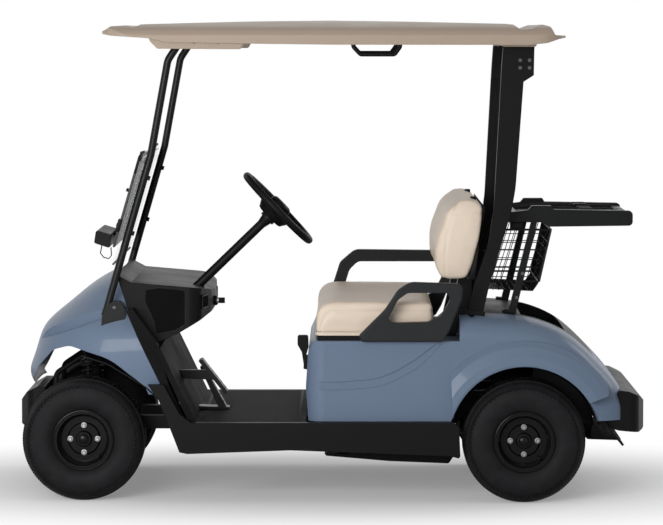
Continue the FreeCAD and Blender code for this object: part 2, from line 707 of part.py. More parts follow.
def deck_ring(place, high, half, low):
    """A section across the body: upright sides that roll over into a nearly flat deck."""
    drop = [(1.0, -96), (0.985, -58), (0.93, -28), (0.82, -12), (0.62, -5), (0.3, -1), (0.0, 0)]
    spots = [Vector(place, -half * share, high + fall) for share, fall in drop]
    spots += [Vector(place, half * share, high + fall) for share, fall in reversed(drop[:-1])]
    curve = Part.BSplineCurve()
    curve.interpolate(spots)
    feet = [Vector(place, half, low), Vector(place, -half, low)]
    return Part.Wire([curve.toShape(), Part.LineSegment(spots[-1], feet[0]).toShape(),
                      Part.LineSegment(*feet).toShape(), Part.LineSegment(feet[1], spots[0]).toShape()])


@cache
def rear_half(inset):
    """The body behind the seat, in by one wall where it is hollowed."""
    low = 303 if not inset else 150
    rings = []
    for place, high, narrower in STATIONS:
        along = place + (inset if place == STATIONS[0][0] else 0) - (inset if high < 600 else 0)
        rings.append(deck_ring(along, high - inset * (1 + (high < 660) * 0.4),
                               size("body_half") - narrower - inset, low))
    return Part.makeLoft(rings, True, False)


@cache
def front_half(inset):
    """The box under the seat, with its front corners rounded in plan."""
    half = size("body_half") - inset
    top, low = (602 - inset, 150) if inset else (602, 303)
    plan = plan_slab([(-93 + inset, -half, 70 - inset), (520, -half), (520, half),
                      (-93 + inset, half, 70 - inset)], low, top)
    lean = side_slab([(-60 + inset, 610), (-84 + inset, 560, 60), (-93 + inset, 422, 200),
                      (-82 + inset, low - 10), (478 + (60 if inset else 8), low - 10),
                      (478 + (60 if inset else 8), 610)], -half - 1, half + 1)
    return plan.common(lean)


def wheel_line(radius, low, high):
    x, z = size("rear_axle_x"), REAR_ARCH_Z
    return rod((x, low, z), (x, high, z), radius)


def flare():
    """The bulge round one rear wheel arch, on the -Y side."""
    side, face, inner = size("body_half"), size("flare_half"), size("arch_radius")
    crease = size("flare_radius")
    section = [(inner - 6, side - 8), (inner - 6, face - 4), (inner + 8, face), (inner + 34, face - 2),
               (crease - 22, face - 16), (crease, side + 1), (crease, side - 8)]
    spots = [Vector(radius, -out, 0) for radius, out in section]
    ring = Part.Face(Part.makePolygon(spots + spots[:1])).revolve(Vector(0, 0, 0), Vector(0, 1, 0), 360)
    ring.translate(Vector(size("rear_axle_x"), 0, REAR_ARCH_Z))
    return ring.common(side_slab([(452, 303), (436, 700), (1030, 700), (1030, 400), (950, 372),
                                  (950, 303)], -700, 0))


def cover_region(grow):
    """The part of the deck that the dark cover takes."""
    return Part.makeBox(size("cover_rear") - size("cover_front") + 2 * grow,
                        2 * (size("cover_half") + grow), 500,
                        Vector(size("cover_front") - grow, -size("cover_half") - grow, 420))


def well_block(inset):
    """The space of the bag well, open upwards."""
    half = size("well_half") - inset
    start, floor = size("well_front") + inset, size("well_floor") + inset
    return side_slab([(start, 900), (start, floor + 15), (start + 15, floor), (880 - inset, floor - 15),
                      (905 - inset, 900)], -half, half)


def rear_body():
    half, wall = size("body_half"), size("panel_wall")
    skin = front_half(0).fuse(rear_half(0))
    inner = front_half(wall).fuse(rear_half(wall))
    hatch = Part.makeBox(360, 2 * half - 180, 200, Vector(10, -half + 90, 500))
    band = side_slab(SIDE_BAND, -half - 10, -half + size("groove_depth"))
    shell = skin.cut(inner)
    for piece in both(band):
        shell = shell.cut(piece)
    shell = shell.multiFuse(list(both(flare()))).cut(wheel_line(size("arch_radius"), -700, 700))
    shell = shell.cut(hatch).cut(cover_region(size("soft_gap")))
    feature("rear_body", shell)


def rear_cover():
    """The dark deck cover with the bag well let into it."""
    wall = size("panel_wall")
    region = cover_region(0)
    plate = rear_half(0).cut(rear_half(wall)).common(region).cut(well_block(0))
    well = rear_half(0).common(region).common(well_block(0)).cut(well_block(wall))
    feature("bag_well", plate.fuse(well).removeSplitter())


def rear_liners():
    """Half-round sheets over the rear wheels, each with its flap behind the wheel."""
    radius = size("arch_radius")
    low, high = -(size("body_half") - size("panel_wall") - size("soft_gap")), -366
    ring = wheel_line(radius, low, high).cut(wheel_line(radius - 4, low, high))
    ring = ring.common(side_slab([(400, 303), (400, 600), (1040, 600), (1040, 303)], low, high))
    flap = side_slab([(976, 340), (986, 340), (1092, 212), (1084, 208)], low + 30, high)
    flap = flap.cut(wheel_line(radius - 4, low - 9, high + 9))
    return both(fused([ring, flap]))


def bumper_block(inset):
    """The rear bumper's form, swept round to its ends, in by one wall where it is hollowed."""
    half = 495 - inset
    side = side_slab([(1003 - 2 * inset, 356 - inset), (1003 - 2 * inset, 281 + inset), (1074, 262 + inset, 20),
                      (1180 - inset, 252 + inset, 14), (1197 - inset, 284, 16), (1194 - inset, 342, 16),
                      (1156 - inset, 388 - inset, 20), (1112, 408 - inset, 12), (1080, 412 - inset)],
                     -half, half)
    bow = plan_slab([(960, -half), (1146 - inset, -half, 40), (1182 - inset, -300, 300),
                     (1197 - inset, 0, 700), (1182 - inset, 300, 300), (1146 - inset, half, 40),
                     (960, half)], 200, 450)
    return side.common(bow)


def rear_bumper():
    """A hollow bumper with two arms that stand behind the frame rails."""
    shell = bumper_block(0).cut(bumper_block(size("panel_wall")))
    arms = [Part.makeBox(90, size("rail_width") - 10, 40,
                         Vector(size("rail_rear") + size("soft_gap"), place, size("rail_low") + size("rail_rise") + 5))
            for place in (size("rail_y") + 5, -size("rail_y") - size("rail_width") + 5)]
    arms = [arm.common(bumper_block(0)) for arm in arms]
    shell = fused([shell] + arms).cut(rear_skin()).cut(fused([part for part in rear_liners()]))
    feature("rear_bumper", shell)


@cache
def rear_skin():
    """What the rear body and its flares fill, taken as solid."""
    return rear_half(0).fuse(front_half(0))


def under_tray():
    """The shield behind the axle, hung from the rails, and the pan below the engine."""
    outer, width, under = size("rail_y"), size("rail_width"), size("rail_low") + size("rail_rise")
    shield = [side_slab([(957, 224), (966, 214, 4), (1092, 210), (1092, 216), (968, 220, 10),
                         (961, 228)], -360, 360)]
    for place in (outer, -outer - width):
        shield.append(side_slab([(972, 215), (992, 215), (992, under), (955, under)], place, place + width))
    under = size("rail_low")
    pan = [side_slab([(-24, 150), (-18, 143), (219, 123, 60), (446, 114, 10), (470, 150)], -300, 300)]
    for place in (outer, -outer - width):
        for start in (30, 400):
            pan.append(Part.makeBox(30, width, under - 140, Vector(start, place, 140)))
    feature("under_tray", Part.makeCompound([fused(shield), fused(pan)]))


rear_body()
direction_lever()
rear_cover()
feature("wheel_liners", Part.makeCompound(list(front_liners() + rear_liners())))
rear_bumper()
under_tray()


def seats():
    gap = size("soft_gap")
    low, top = size("cushion_low"), size("cushion_top")
    front, rear, half = size("cushion_front"), size("cushion_rear"), size("cushion_half")
    pan = side_slab([(front + 10, low, 4), (rear, low, 4), (rear, low + 18, 4),
                     (front + 10, low + 18, 4)], -half + 12, half - 12)
    feature("seat_pan", pan)
    soft = side_slab([(front, low + 18 + gap, 15), (rear, low + 18 + gap, 10), (rear, top - 8, 30),
                      (front + 90, top, 60), (front, top - 50, 30)], -half, half)
    crown = Part.Face(loop([(-half, low), (half, low), (half, top - 30, 30), (half - 90, top - 1, 120),
                            (90 - half, top - 1, 120), (-half, top - 30, 30)],
                           lambda spot: Vector(front - 10, spot.x, spot.y)))
    feature("seat_cushion", soft.common(crown.extrude(Vector(rear - front + 20, 0, 0))))
    side = size("back_half")
    back = side_slab([(414, 822, 15), (540, 822, 15), (576, 1090, 40), (548, 1128, 24), (500, 1126, 30),
                      (430, 1072, 60), (388, 940, 60), (394, 870, 30)], -side, side)
    ends = Part.Face(loop([(-side, 800), (side, 800), (side, 1128, 70), (-side, 1128, 70)],
                          lambda spot: Vector(300, spot.x, spot.y)))
    plan = plan_slab([(384, 0, 900), (396, 60 - side, 90), (470, -side, 30), (640, -side), (640, side),
                      (470, side, 30), (396, side - 60, 90)], 800, 1200)
    feature("seat_back", back.common(ends.extrude(Vector(400, 0, 0))).common(plan))
    bracket_pieces = []
    for place in (-300, 300):
        bracket_pieces.append(side_slab([(395, 602), (470, 602), (530, 720), (530, 821.7),
                                         (480, 821.7), (440, 640)], place - 25,
                                        place + 25).cut(rear_skin()))
    feature("seat_brackets", Part.makeCompound(bracket_pieces))


def driver_armrest():
    outer = side_slab([(103, 624, 12), (116, 602, 8), (415, 602, 20), (441, 647, 40),
                       (485, 758, 60), (488, 817, 22), (293, 824, 60), (248, 795, 60),
                       (200, 721, 60)], -size("armrest_y") - size("armrest_width"), -size("armrest_y"))
    hole = side_slab([(212, 687, 14), (248, 758, 40), (285, 784, 30), (433, 784, 14),
                      (441, 758, 20), (411, 702, 30), (359, 676, 24), (226, 672, 10)], -700, -500)
    return softened(outer).cut(hole)


def softened(arm):
    """The arm with the edges of its outline rounded over."""
    spots = (arm.BoundBox.YMin, arm.BoundBox.YMax)
    rims = [edge for edge in arm.Edges
            if edge.BoundBox.YLength < 1e-6 and min(abs(edge.BoundBox.YMin - spot) for spot in spots) < 1e-6]
    return arm.makeFillet(7, rims)


def passenger_armrest():
    low, width = size("armrest_y"), size("armrest_width")
    outer = side_slab([(-30, 625, 12), (-17, 602, 8), (415, 602, 20), (441, 647, 40),
                       (485, 758, 60), (488, 868, 22), (92, 872, 50), (32, 821, 40)],
                      low, low + width)
    hole = side_slab([(40, 690, 15), (70, 790, 40), (104, 824, 34), (433, 824, 14),
                      (441, 758, 20), (411, 702, 30), (359, 676, 24), (60, 672, 10)], 500, 700)
    return softened(outer).cut(hole)


seats()
feature("armrests", Part.makeCompound([driver_armrest(), passenger_armrest()]))


# Roof and what carries it

ROOF_TOP = [(-812, 1766, 20), (-755, 1769, 10), (-738, 1762, 4), (-722, 1762, 4), (-705, 1773, 10),
            (-313, 1784, 900), (-6, 1788, 900), (263, 1784, 900), (648, 1775, 10), (676, 1772, 8),
            (698, 1754, 6), (740, 1756, 6), (782, 1773, 20), (810, 1765, 12), (828, 1733, 8)]
ROOF_LIP = [(840, 1718, 20), (799, 1704, 30), (733, 1697, 30), (-3, 1698), (-323, 1702, 30),
            (-600, 1706, 60), (-676, 1722, 30), (-812, 1731, 20)]


def roof_block(inset):
    """The roof as the common form of its side, front and plan outlines."""
    front, rear, half = size("roof_front"), size("roof_rear"), size("roof_half") - inset
    edge = size("roof_edge")
    if inset:
        top = [(x * 0.975, z - inset * 1.15, r) for x, z, r in ROOF_TOP]
        side = top + [(rear - 66, edge - 12), (rear - 66, 1600), (front + 52, 1600), (front + 52, edge)]
    else:
        lift = size("roof_crown") - 1788
        side = ([(front, 1746, 3), (-830, 1754, 14)] + [(x, z + lift, *r) for x, z, *r in ROOF_TOP]
                + [(rear, 1731, 3), (rear, 1724, 3)] + ROOF_LIP + [(front, 1738, 3)])
    profile = side_slab(side, -half - 5, half + 5)
    across = [Vector(-900, y, z - inset * 1.1) for y, z in (
        (-half, edge), (-half + 14, edge + 16), (-half + 70, edge + 34), (-half + 200, edge + 47),
        (-half + 400, edge + 53.5), (0, edge + 56), (half - 400, edge + 53.5),
        (half - 200, edge + 47), (half - 70, edge + 34), (half - 14, edge + 16), (half, edge))]
    curve = Part.BSplineCurve()
    curve.interpolate(across)
    feet = [Vector(-900, half - 4, 1500), Vector(-900, -half + 4, 1500)]
    ring = Part.Wire([curve.toShape(), Part.LineSegment(across[-1], feet[0]).toShape(),
                      Part.LineSegment(*feet).toShape(), Part.LineSegment(feet[1], across[0]).toShape()])
    section = Part.Face(ring).extrude(Vector(1800, 0, 0))
    corner = size("roof_corner") - inset
    plan = plan_slab([(front + inset, -half, corner), (rear - inset, -half, corner),
                      (rear - inset, half, corner), (front + inset, half, corner)], 1500, 1900)
    return profile.common(section).common(plan)


@cache
def roof_skin():
    return roof_block(0).cut(roof_block(size("roof_wall")))


STRUT_FOOT = (-842, 690)
STRUT_BEND = (-668, 1290)


def front_pod():
    """The pad under the roof's front corner that takes a strut."""
    return side_slab([(-676, 1737), (-665, 1709, 6), (-639, 1683, 10), (-334, 1681, 10), (-323, 1702, 6),
                      (-318, 1737)], -size("strut_y") - 80, -size("strut_y") + 25)


def rear_pod():
    """The pad under the roof's rear corner that takes a pillar."""
    low = size("pod_low")
    return side_slab([(640, low, 6), (762, low, 6), (770, low + 47), (632, low + 47)],
                     -size("pillar_y") - size("pillar_width") - 14, -size("pillar_y") + 12)


def roof():
    pods = list(both(front_pod())) + list(both(rear_pod()))
    under = side_slab([(-900, 1600), (-900, 1742), (900, 1742), (900, 1600)], -700, 700)
    pods = [pod.common(under) for pod in pods]
    feature("roof", fused([roof_skin()] + pods))


def roof_struts():
    """Bent tubes from covers on the cowl's fenders up to the roof's front pads."""
    y = -size("strut_y")
    bar = bent_rod([(STRUT_FOOT[0], y, STRUT_FOOT[1]), (STRUT_BEND[0], y, STRUT_BEND[1]),
                    (-604, y, 1640), (-560, y, 1706)], size("strut_radius"), 60)
    cover = side_slab([(-858, 600), (-852, 687), (-838, 724, 10), (-810, 745, 10), (-784, 745, 8),
                       (-764, 716, 6), (-768, 600)], y - 16, y + 26)
    cover = cover.cut(footwell_strip().translated(Vector(-size("soft_gap"), 0, 0)))
    bar = bar.cut(front_pod()).cut(cowl_outside())
    bar = fused([bar, cover.cut(cowl_outside())])
    feature("roof_struts_front", Part.makeCompound(list(both(bar))))


def deck_height(x):
    """Height of the middle of the body's deck where it slopes straight back from the seat."""
    (start, high, _), (end, low, _) = STATIONS[:2]
    return high + (low - high) * (x - start) / (end - start)


def pillars():
    """Bent pillars, wide at the head, that stand on foot plates on the deck."""
    y, width = -size("pillar_y") - size("pillar_width"), size("pillar_width")
    high = size("pod_low") - size("soft_gap")
    sleeve = side_slab([(508, 660), (515, 700), (540, 819, 300), (589, 960, 300), (608, 1100, 500),
                        (634, 1602), (640, high), (756, high), (754, 1584, 6), (716, 1560, 6),
                        (688, 1164, 500), (673, 1080, 300), (634, 946, 300), (592, 805, 300), (568, 700),
                        (562, 660)], y, y + width)
    channel = side_slab([(600, 1000), (628, 1560, 8), (660, 1560, 8), (640, 1000)], y + width - 14,
                        y + width + 1)
    foot = side_slab([(474, 640), (474, 712, 4), (575, 706, 4), (575, 640)], y - 8, y + width + 14)
    floor = rear_half(0).translated(Vector(0, 0, size("soft_gap")))
    piece = fused([sleeve.cut(channel), foot]).cut(floor)
    feature("rear_pillars", Part.makeCompound(list(both(piece))))


def roof_grips():
    y, above, hang = -size("roof_half") + 55, size("roof_edge") + 45, size("roof_low") - 36
    grip = bent_rod([(80, y, above), (84, y, hang + 28), (110, y, hang), (236, y, hang),
                     (256, y, hang + 28), (260, y, above)], 8, 12).cut(roof_skin())
    grip = max(grip.Solids, key=lambda solid: solid.Volume)
    feature("roof_grips", Part.makeCompound(list(both(grip))))


roof()
roof_struts()
pillars()
roof_grips()


# Bag rack and basket

def bag_rack():
    """Two posts, the beams along their tops and the loops that hold the bags."""
    y, tube = size("rack_y"), size("rack_tube")
    floor = rear_half(0).translated(Vector(0, 0, size("soft_gap")))
    pieces = []
    for sign in (-1, 1):
        low = sign * y - (tube if sign < 0 else 0)
        pieces.append(side_slab([(652, 640), (684, 640), (697, 688), (779, 1040), (756, 1040),
                                 (669, 692)], low, low + tube))
        pieces.append(side_slab([(648, 640), (648, 702, 4), (696, 698, 4), (696, 640)], low - 5,
                                low + tube + 5))
        pieces.append(side_slab([(660, 1031, 4), (790, 1031, 4), (821, 1013, 10), (1136, 1017, 16),
                                 (1136, 1073, 16), (838, 1078, 6), (830, 1092, 4), (756, 1092, 4),
                                 (742, 1076, 6), (660, 1066, 6)], low - 4, low + tube + 4))
    for start, end in ((672, 712), (1096, 1134)):
        pieces.append(side_slab([(start, 1034, 8), (end, 1034, 8), (end, 1062, 8), (start, 1062, 8)],
                                -y - tube / 2, y + tube / 2))
    pieces.append(side_slab([(690, 1036, 6), (1110, 1036, 6), (1110, 1060, 6), (690, 1060, 6)], -16, 16))
    feature("bag_rack", fused(pieces).cut(floor))


def basket():
    """The basket's sheet, rounded along its lower rear edge, hung between the rack posts."""
    half, wall = size("rack_y") - size("basket_inset"), size("basket_wall")
    outer = side_slab([(590, 868), (588, 782, 16), (760, 764, 24), (782, 790, 20), (817, 931),
                       (834, 1008), (672, 1022)], -half, half)
    inner = side_slab([(590 + wall, 900), (588 + wall, 782 + wall, 12), (758, 764 + wall, 18),
                       (775, 790, 14), (817 - wall, 931), (834, 1060), (664, 1060)],
                      -half + wall, half - wall)
    bowl = outer.cut(inner)
    beam_low = 1031
    hooks = [Part.makeBox(50, 20, 24, Vector(674, sign * half - 10, beam_low - size("soft_gap") - 24))
             for sign in (-1, 1)]
    feature("basket", fused([bowl] + hooks))


bag_rack()
basket()


# Windshield

def slope(start, end):
    run = Vector(end[0] - start[0], 0, end[1] - start[1])
    return run.normalize()


def windshield():
    half, wall, gap = size("pane_half"), size("pane_wall"), size("pane_gap")
    down = slope(STRUT_BEND, STRUT_FOOT)
    forward = Vector(down.z, 0, -down.x)
    clip = 5.3
    ahead = size("strut_radius") + clip + wall + gap / 2
    fold = Vector(STRUT_BEND[0], 0, STRUT_BEND[1]) + forward * ahead
    pane_length = 430

    def block(near, far, start, end, low, high):
        """A block in the pane's directions: forward, down and across."""
        corners = [fold + forward * reach + down * drop
                   for reach, drop in ((near, start), (far, start), (far, end), (near, end))]
        face = Part.Face(Part.makePolygon([Vector(c.x, low, c.z) for c in corners + corners[:1]]))
        return face.extrude(Vector(0, high - low, 0))

    lower = [block(-gap / 2 - wall, -gap / 2, 14, pane_length, -half, half)]
    upper = [block(gap / 2, gap / 2 + wall, 14, size("upper_pane"), -half, half)]
    for sign in (-1, 1):
        middle = sign * (half - 60)
        start, end = fold + Vector(0, middle - 12, 0), fold + Vector(0, middle + 12, 0)
        lower.append(rod(start, end, 5))
        lower.append(block(-gap / 2 - wall, 0, 0, 34, middle - 12, middle + 12))
        for step in (-1, 1):
            place = middle + step * 24.3
            start, end = fold + Vector(0, place - 12, 0), fold + Vector(0, place + 12, 0)
            upper.append(rod(start, end, 5))
            upper.append(block(0, gap / 2 + wall, 0, 34, place - 12, place + 12))
        for drop in (40, pane_length - 40):
            rest = sign * size("strut_y")
            lower.append(block(-gap / 2 - wall - clip + 0.3, -gap / 2 - wall, drop, drop + 24,
                               rest - 10, rest + 10))
    feature("windshield_lower", fused(lower))
    upper = fused(upper)
    feature("windshield_upper", upper)
    clear = gap / 2 + wall
    base = fold + forward * clear + down * (size("upper_pane") - 60)
    box = side_slab([(-894, 993, 8), (-836, 976, 8), (-841, 924, 8), (-902, 944, 8)], -200, 200)
    stem = rod((-860, 0, 950), (base.x, 0, base.z), 8).cut(upper)
    feature("mirror", box.fuse(stem).removeSplitter())


windshield()


# Rear axle, its springs and the engine

def leaf(reach, top, thickness):
    """One spring leaf along X under the axle, its ends higher than its middle."""
    x = size("rear_axle_x")
    rise = 62 * (reach / 262) ** 2
    upper = [(x - reach, top + rise, 0), (x, top - 14 * reach / 262, 3 * reach), (x + reach, top + rise, 0)]
    lower = [(along, high - thickness, radius + (thickness if radius else 0))
             for along, high, radius in reversed(upper)]
    y = -size("rail_y") - size("rail_width") - 50
    return side_slab(upper + lower, y, y + 44)


def rear_springs():
    """Leaf springs under the axle, hung from the rails at their eyes, with their clamps."""
    x, z, outer = size("rear_axle_x"), size("tyre_radius"), size("rail_y") + size("rail_width")
    under = z - size("axle_tube_radius")
    leaves = [leaf(262, under - 2, 7), leaf(190, under - 9, 6), leaf(120, under - 14, 6)]
    clamp = Part.makeBox(64, 48, 44, Vector(x - 32, -outer - 52, under - 34))
    eye_z = under + 54
    pieces = leaves + [clamp]
    rail_low = size("rail_low")
    for place, high in ((x - 262, rail_low + 45), (x + 262, rail_low + size("rail_rise") + 40)):
        pieces.append(rod((place, -outer - 50, eye_z), (place, -outer - 6, eye_z), 14))
        pieces.append(Part.makeBox(26, 50, high - eye_z, Vector(place - 13, -outer - 50, eye_z)))
    sleeve = rod((x, -500, z), (x, 500, z), size("axle_tube_radius") + size("soft_gap"))
    feature("rear_springs", Part.makeCompound(list(both(fused(pieces).cut(sleeve)))))


def rear_axle():
    """The axle tubes with the gear case between them."""
    x, z = size("rear_axle_x"), size("tyre_radius")
    inner = size("rear_hub_y") + size("disc_offset") - 41
    tube = rod((x, -inner, z), (x, inner, z), size("axle_tube_radius"))
    spindle = rod((x, -inner - 57, z), (x, inner + 57, z), size("spindle_radius"))
    case = rod((x, 20, z), (x, 100, z), 86)
    neck = Part.makeCone(86, 50, 50, Vector(x, 20, z), Vector(0, -1, 0))
    feature("rear_axle", fused([tube, spindle, case, neck]))


def engine():
    block = doc.addObject("Part::Box", "engine")
    bind(block, "Length", "engine_length")
    bind(block, "Width", "engine_width")
    bind(block, "Height", "engine_height")
    bind(block, "Placement.Base.x", "80")
    bind(block, "Placement.Base.y", "-engine_width / 2")
    bind(block, "Placement.Base.z", "rail_high + 0.3")
    keep(block, "engine")


rear_axle()
rear_springs()
engine()

doc.recompute()
for item in doc.Objects:
    if {"Invalid", "Error"} & set(item.State):
        raise RuntimeError(f"{item.Name} failed: {item.State}")
failed = [item.Label for item in subparts if item.Shape.isNull() or not item.Shape.isValid()]
if failed:
    raise RuntimeError(f"no valid shape: {', '.join(failed)}")

os.makedirs("parts", exist_ok=True)
for item in subparts:
    item.Shape.exportStep(f"parts/{item.Label}.step")
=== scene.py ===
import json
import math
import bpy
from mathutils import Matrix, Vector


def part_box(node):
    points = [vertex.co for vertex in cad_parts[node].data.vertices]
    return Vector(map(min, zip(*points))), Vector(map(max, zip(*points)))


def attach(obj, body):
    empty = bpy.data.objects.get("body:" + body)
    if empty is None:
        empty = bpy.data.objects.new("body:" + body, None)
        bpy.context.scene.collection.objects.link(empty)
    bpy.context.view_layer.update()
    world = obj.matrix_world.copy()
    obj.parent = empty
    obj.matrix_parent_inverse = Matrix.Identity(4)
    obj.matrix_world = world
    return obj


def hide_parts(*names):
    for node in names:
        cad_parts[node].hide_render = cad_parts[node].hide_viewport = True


bl_info = {
    "name": "Golf Cart Looks",
    "version": (1, 0, 0),
    "blender": (4, 5, 0),
    "location": "3D View > Sidebar > Golf Cart",
    "description": "Finishes, soft seats and small fittings for a two-seat golf cart",
    "category": "Object",
}

import bmesh
import bpy
from bpy.props import FloatProperty, FloatVectorProperty, PointerProperty
from mathutils import Matrix, Vector

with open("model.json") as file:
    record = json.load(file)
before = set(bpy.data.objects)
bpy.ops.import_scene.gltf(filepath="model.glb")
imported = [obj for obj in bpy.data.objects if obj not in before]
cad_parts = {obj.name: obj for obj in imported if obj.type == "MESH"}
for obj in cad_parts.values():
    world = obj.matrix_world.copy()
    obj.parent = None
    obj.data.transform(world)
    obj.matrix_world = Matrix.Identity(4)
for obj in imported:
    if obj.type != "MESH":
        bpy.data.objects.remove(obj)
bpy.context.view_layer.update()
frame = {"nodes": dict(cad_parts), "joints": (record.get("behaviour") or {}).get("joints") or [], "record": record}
NODES = frame["nodes"]


# Settings

def colour(name, description, value):
    return FloatVectorProperty(name=name, description=description, default=value,
                               subtype="COLOR", size=3, min=0.0, max=1.0)


def length(name, description, metres):
    return FloatProperty(name=name, description=description, default=metres,
                         unit="LENGTH", min=0.0)


class CartColours(bpy.types.PropertyGroup):
    body_paint: colour("Body paint", "Painted cowl and rear body", (0.118, 0.160, 0.230))
    roof_shell: colour("Roof", "Moulded roof", (0.36, 0.29, 0.23))
    seat_vinyl: colour("Cushion vinyl", "Cover of the cushion and backrest", (0.68, 0.575, 0.47))
    rubber: colour("Rubber", "Tyres", (0.009, 0.009, 0.010))
    gloss_black: colour("Gloss black", "Wheels", (0.005, 0.005, 0.005))
    moulded_black: colour("Moulded black", "Bare plastic mouldings", (0.0045, 0.0045, 0.005))
    tube_black: colour("Tube black", "Coated steel tubes", (0.007, 0.0075, 0.008))
    frame_black: colour("Frame black", "Frame and axles", (0.007, 0.007, 0.007))
    arm_pad: colour("Armrests", "Moulded armrests", (0.020, 0.021, 0.022))
    pane_rail: colour("Pane rails", "Rails along the sides of the windshield", (0.045, 0.045, 0.045))
    smoked: colour("Smoked pane", "Tinted upper pane", (0.022, 0.023, 0.024))
    # This colour is painted shade: a near-black tone for the thin sheet that closes the dash's open ends, in place
    # of the shade inside the hollows.
    hollow_painted_shade: colour("Recesses", "Floors of recesses in the mouldings", (0.0015, 0.0015, 0.0015))
    webbing: colour("Webbing", "Bag straps", (0.012, 0.012, 0.012))
    glazing: colour("Glazing", "Windshield", (0.75, 0.78, 0.79))
    bright_steel: colour("Bright steel", "Wheel nuts and key switch", (0.42, 0.42, 0.43))
    dull_steel: colour("Dull steel", "Bolts and studs", (0.10, 0.10, 0.105))
    floor: colour("Floor", "Studio floor", (0.93, 0.93, 0.93))


class CartSizes(bpy.types.PropertyGroup):
    tread_depth: length("Tread depth", "Height of a tread block", 0.0045)
    wire: length("Basket wire", "Radius of a basket wire", 0.0018)
    rim_wire: length("Basket rim", "Radius of the basket's rim", 0.0042)
    spring_wire: length("Spring wire", "Radius of a front spring's wire", 0.0052)
    bolt_head: length("Bolt head", "Radius of a body bolt's head", 0.0055)
    nut_circle: length("Nut circle", "Radius of the circle of wheel nuts", 0.0508)
    cloth_voxel: length("Cloth grain", "Size of the mesh that the seat cover is made from", 0.006)
    camera_distance: length("Camera distance", "Camera from the cart's middle plane", 13.113)
    camera_height: length("Camera height", "Camera above the ground", 1.7413)
    camera_x: length("Camera place", "Camera behind the cart's middle", 0.0595)
    camera_pitch: FloatProperty(name="Camera pitch", description="Camera tilt below level",
                                default=math.radians(3.86), unit="ROTATION")
    camera_yaw: FloatProperty(name="Camera yaw", description="Camera turn towards the front",
                              default=math.radians(0.2576), unit="ROTATION")
    camera_lens: FloatProperty(name="Camera lens", description="Focal length on a 36 mm frame, in mm",
                               default=184.8, min=1.0)
    world_light: FloatProperty(name="World light", description="Strength of the even light",
                               default=0.31, min=0.0)


# Materials

def principled(name, base, roughness, **sockets):
    """A material with one Principled shader; socket names are given with _ for a space."""
    material = bpy.data.materials.new(f"cart_{name}")
    material.use_nodes = True
    shader = material.node_tree.nodes["Principled BSDF"]
    shader.inputs["Base Color"].default_value = (*base, 1)
    shader.inputs["Roughness"].default_value = roughness
    for socket, value in sockets.items():
        shader.inputs[socket.replace("_", " ")].default_value = value
    return material


def add(material, kind, **values):
    node = material.node_tree.nodes.new(kind)
    for name, value in values.items():
        if name in node.inputs:
            node.inputs[name].default_value = value
        else:
            setattr(node, name, value)
    return node


def join(material, output, source, socket, target):
    material.node_tree.links.new(output.outputs[source], target.inputs[socket])


def noise(material, scale, detail=3.0):
    """Noise on Object coordinates, so it stays on the piece."""
    place = add(material, "ShaderNodeTexCoord")
    cloud = add(material, "ShaderNodeTexNoise", Scale=scale, Detail=detail)
    join(material, place, "Object", "Vector", cloud)
    return cloud


def bumped(material, cloud, strength, distance):
    """Adds one more height to the shader's bumps."""
    shader = material.node_tree.nodes["Principled BSDF"]
    bump = add(material, "ShaderNodeBump", Strength=strength, Distance=distance)
    join(material, cloud, 0, "Height", bump)
    before = shader.inputs["Normal"].links
    if before:
        material.node_tree.links.new(before[0].from_socket, bump.inputs["Normal"])
    join(material, bump, "Normal", "Normal", shader)
    return material


def varied(material, cloud, socket, low, high):
    """Lets a socket wander between two numbers or two colours with a noise."""
    shader = material.node_tree.nodes["Principled BSDF"]
    if isinstance(low, (int, float)):
        spread = add(material, "ShaderNodeMapRange")
        spread.inputs["From Min"].default_value = 0.3
        spread.inputs["From Max"].default_value = 0.7
        spread.inputs["To Min"].default_value = low
        spread.inputs["To Max"].default_value = high
        join(material, cloud, 0, "Value", spread)
        join(material, spread, "Result", socket, shader)
    else:
        ramp = add(material, "ShaderNodeValToRGB")
        ramp.color_ramp.elements[0].position = 0.3
        ramp.color_ramp.elements[0].color = (*low, 1)
        ramp.color_ramp.elements[1].position = 0.7
        ramp.color_ramp.elements[1].color = (*high, 1)
        join(material, cloud, 0, "Fac", ramp)
        join(material, ramp, "Color", socket, shader)
    return material


def shade(base, factor):
    return tuple(min(1.0, channel * factor) for channel in base)


def body_paint(base):
    material = principled("body_paint", base, 0.42, Metallic=0.0, Specular_IOR_Level=0.12,
                          Coat_Weight=0.14, Coat_Roughness=0.06)
    varied(material, noise(material, 900.0, 1.0), "Base Color", shade(base, 0.9), shade(base, 1.12))
    return bumped(material, noise(material, 14.0, 2.0), 0.04, 0.002)


def eased(material, radius):
    """Lets the sharp edges of a plain part catch the light as if rounded."""
    shader = material.node_tree.nodes["Principled BSDF"]
    edge = add(material, "ShaderNodeBevel", samples=4, Radius=radius)
    links = material.node_tree.links
    first = next((link.to_node for link in links if link.to_node.bl_idname == "ShaderNodeBump"
                  and not link.to_node.inputs["Normal"].links), None)
    links.new(edge.outputs["Normal"], (first or shader).inputs["Normal"])
    return material


def moulded(name, base, roughness, grain, depth):
    """Bare moulded plastic with a fine cast grain."""
    material = principled(name, base, roughness, Specular_IOR_Level=0.09)
    varied(material, noise(material, 6.0), "Roughness", roughness * 0.9, min(1.0, roughness * 1.12))
    return bumped(material, noise(material, grain, 2.0), 0.35, depth)


def coated_steel(name, base, roughness):
    material = principled(name, base, roughness, Specular_IOR_Level=0.13)
    varied(material, noise(material, 30.0), "Roughness", roughness * 0.85, roughness * 1.15)
    return bumped(material, noise(material, 700.0, 1.0), 0.12, 0.0004)


def vinyl(base):
    material = principled("seat_vinyl", base, 0.42, Specular_IOR_Level=0.2)
    varied(material, noise(material, 7.0), "Base Color", shade(base, 0.96), shade(base, 1.03))
    return bumped(material, noise(material, 420.0, 4.0), 0.25, 0.0006)


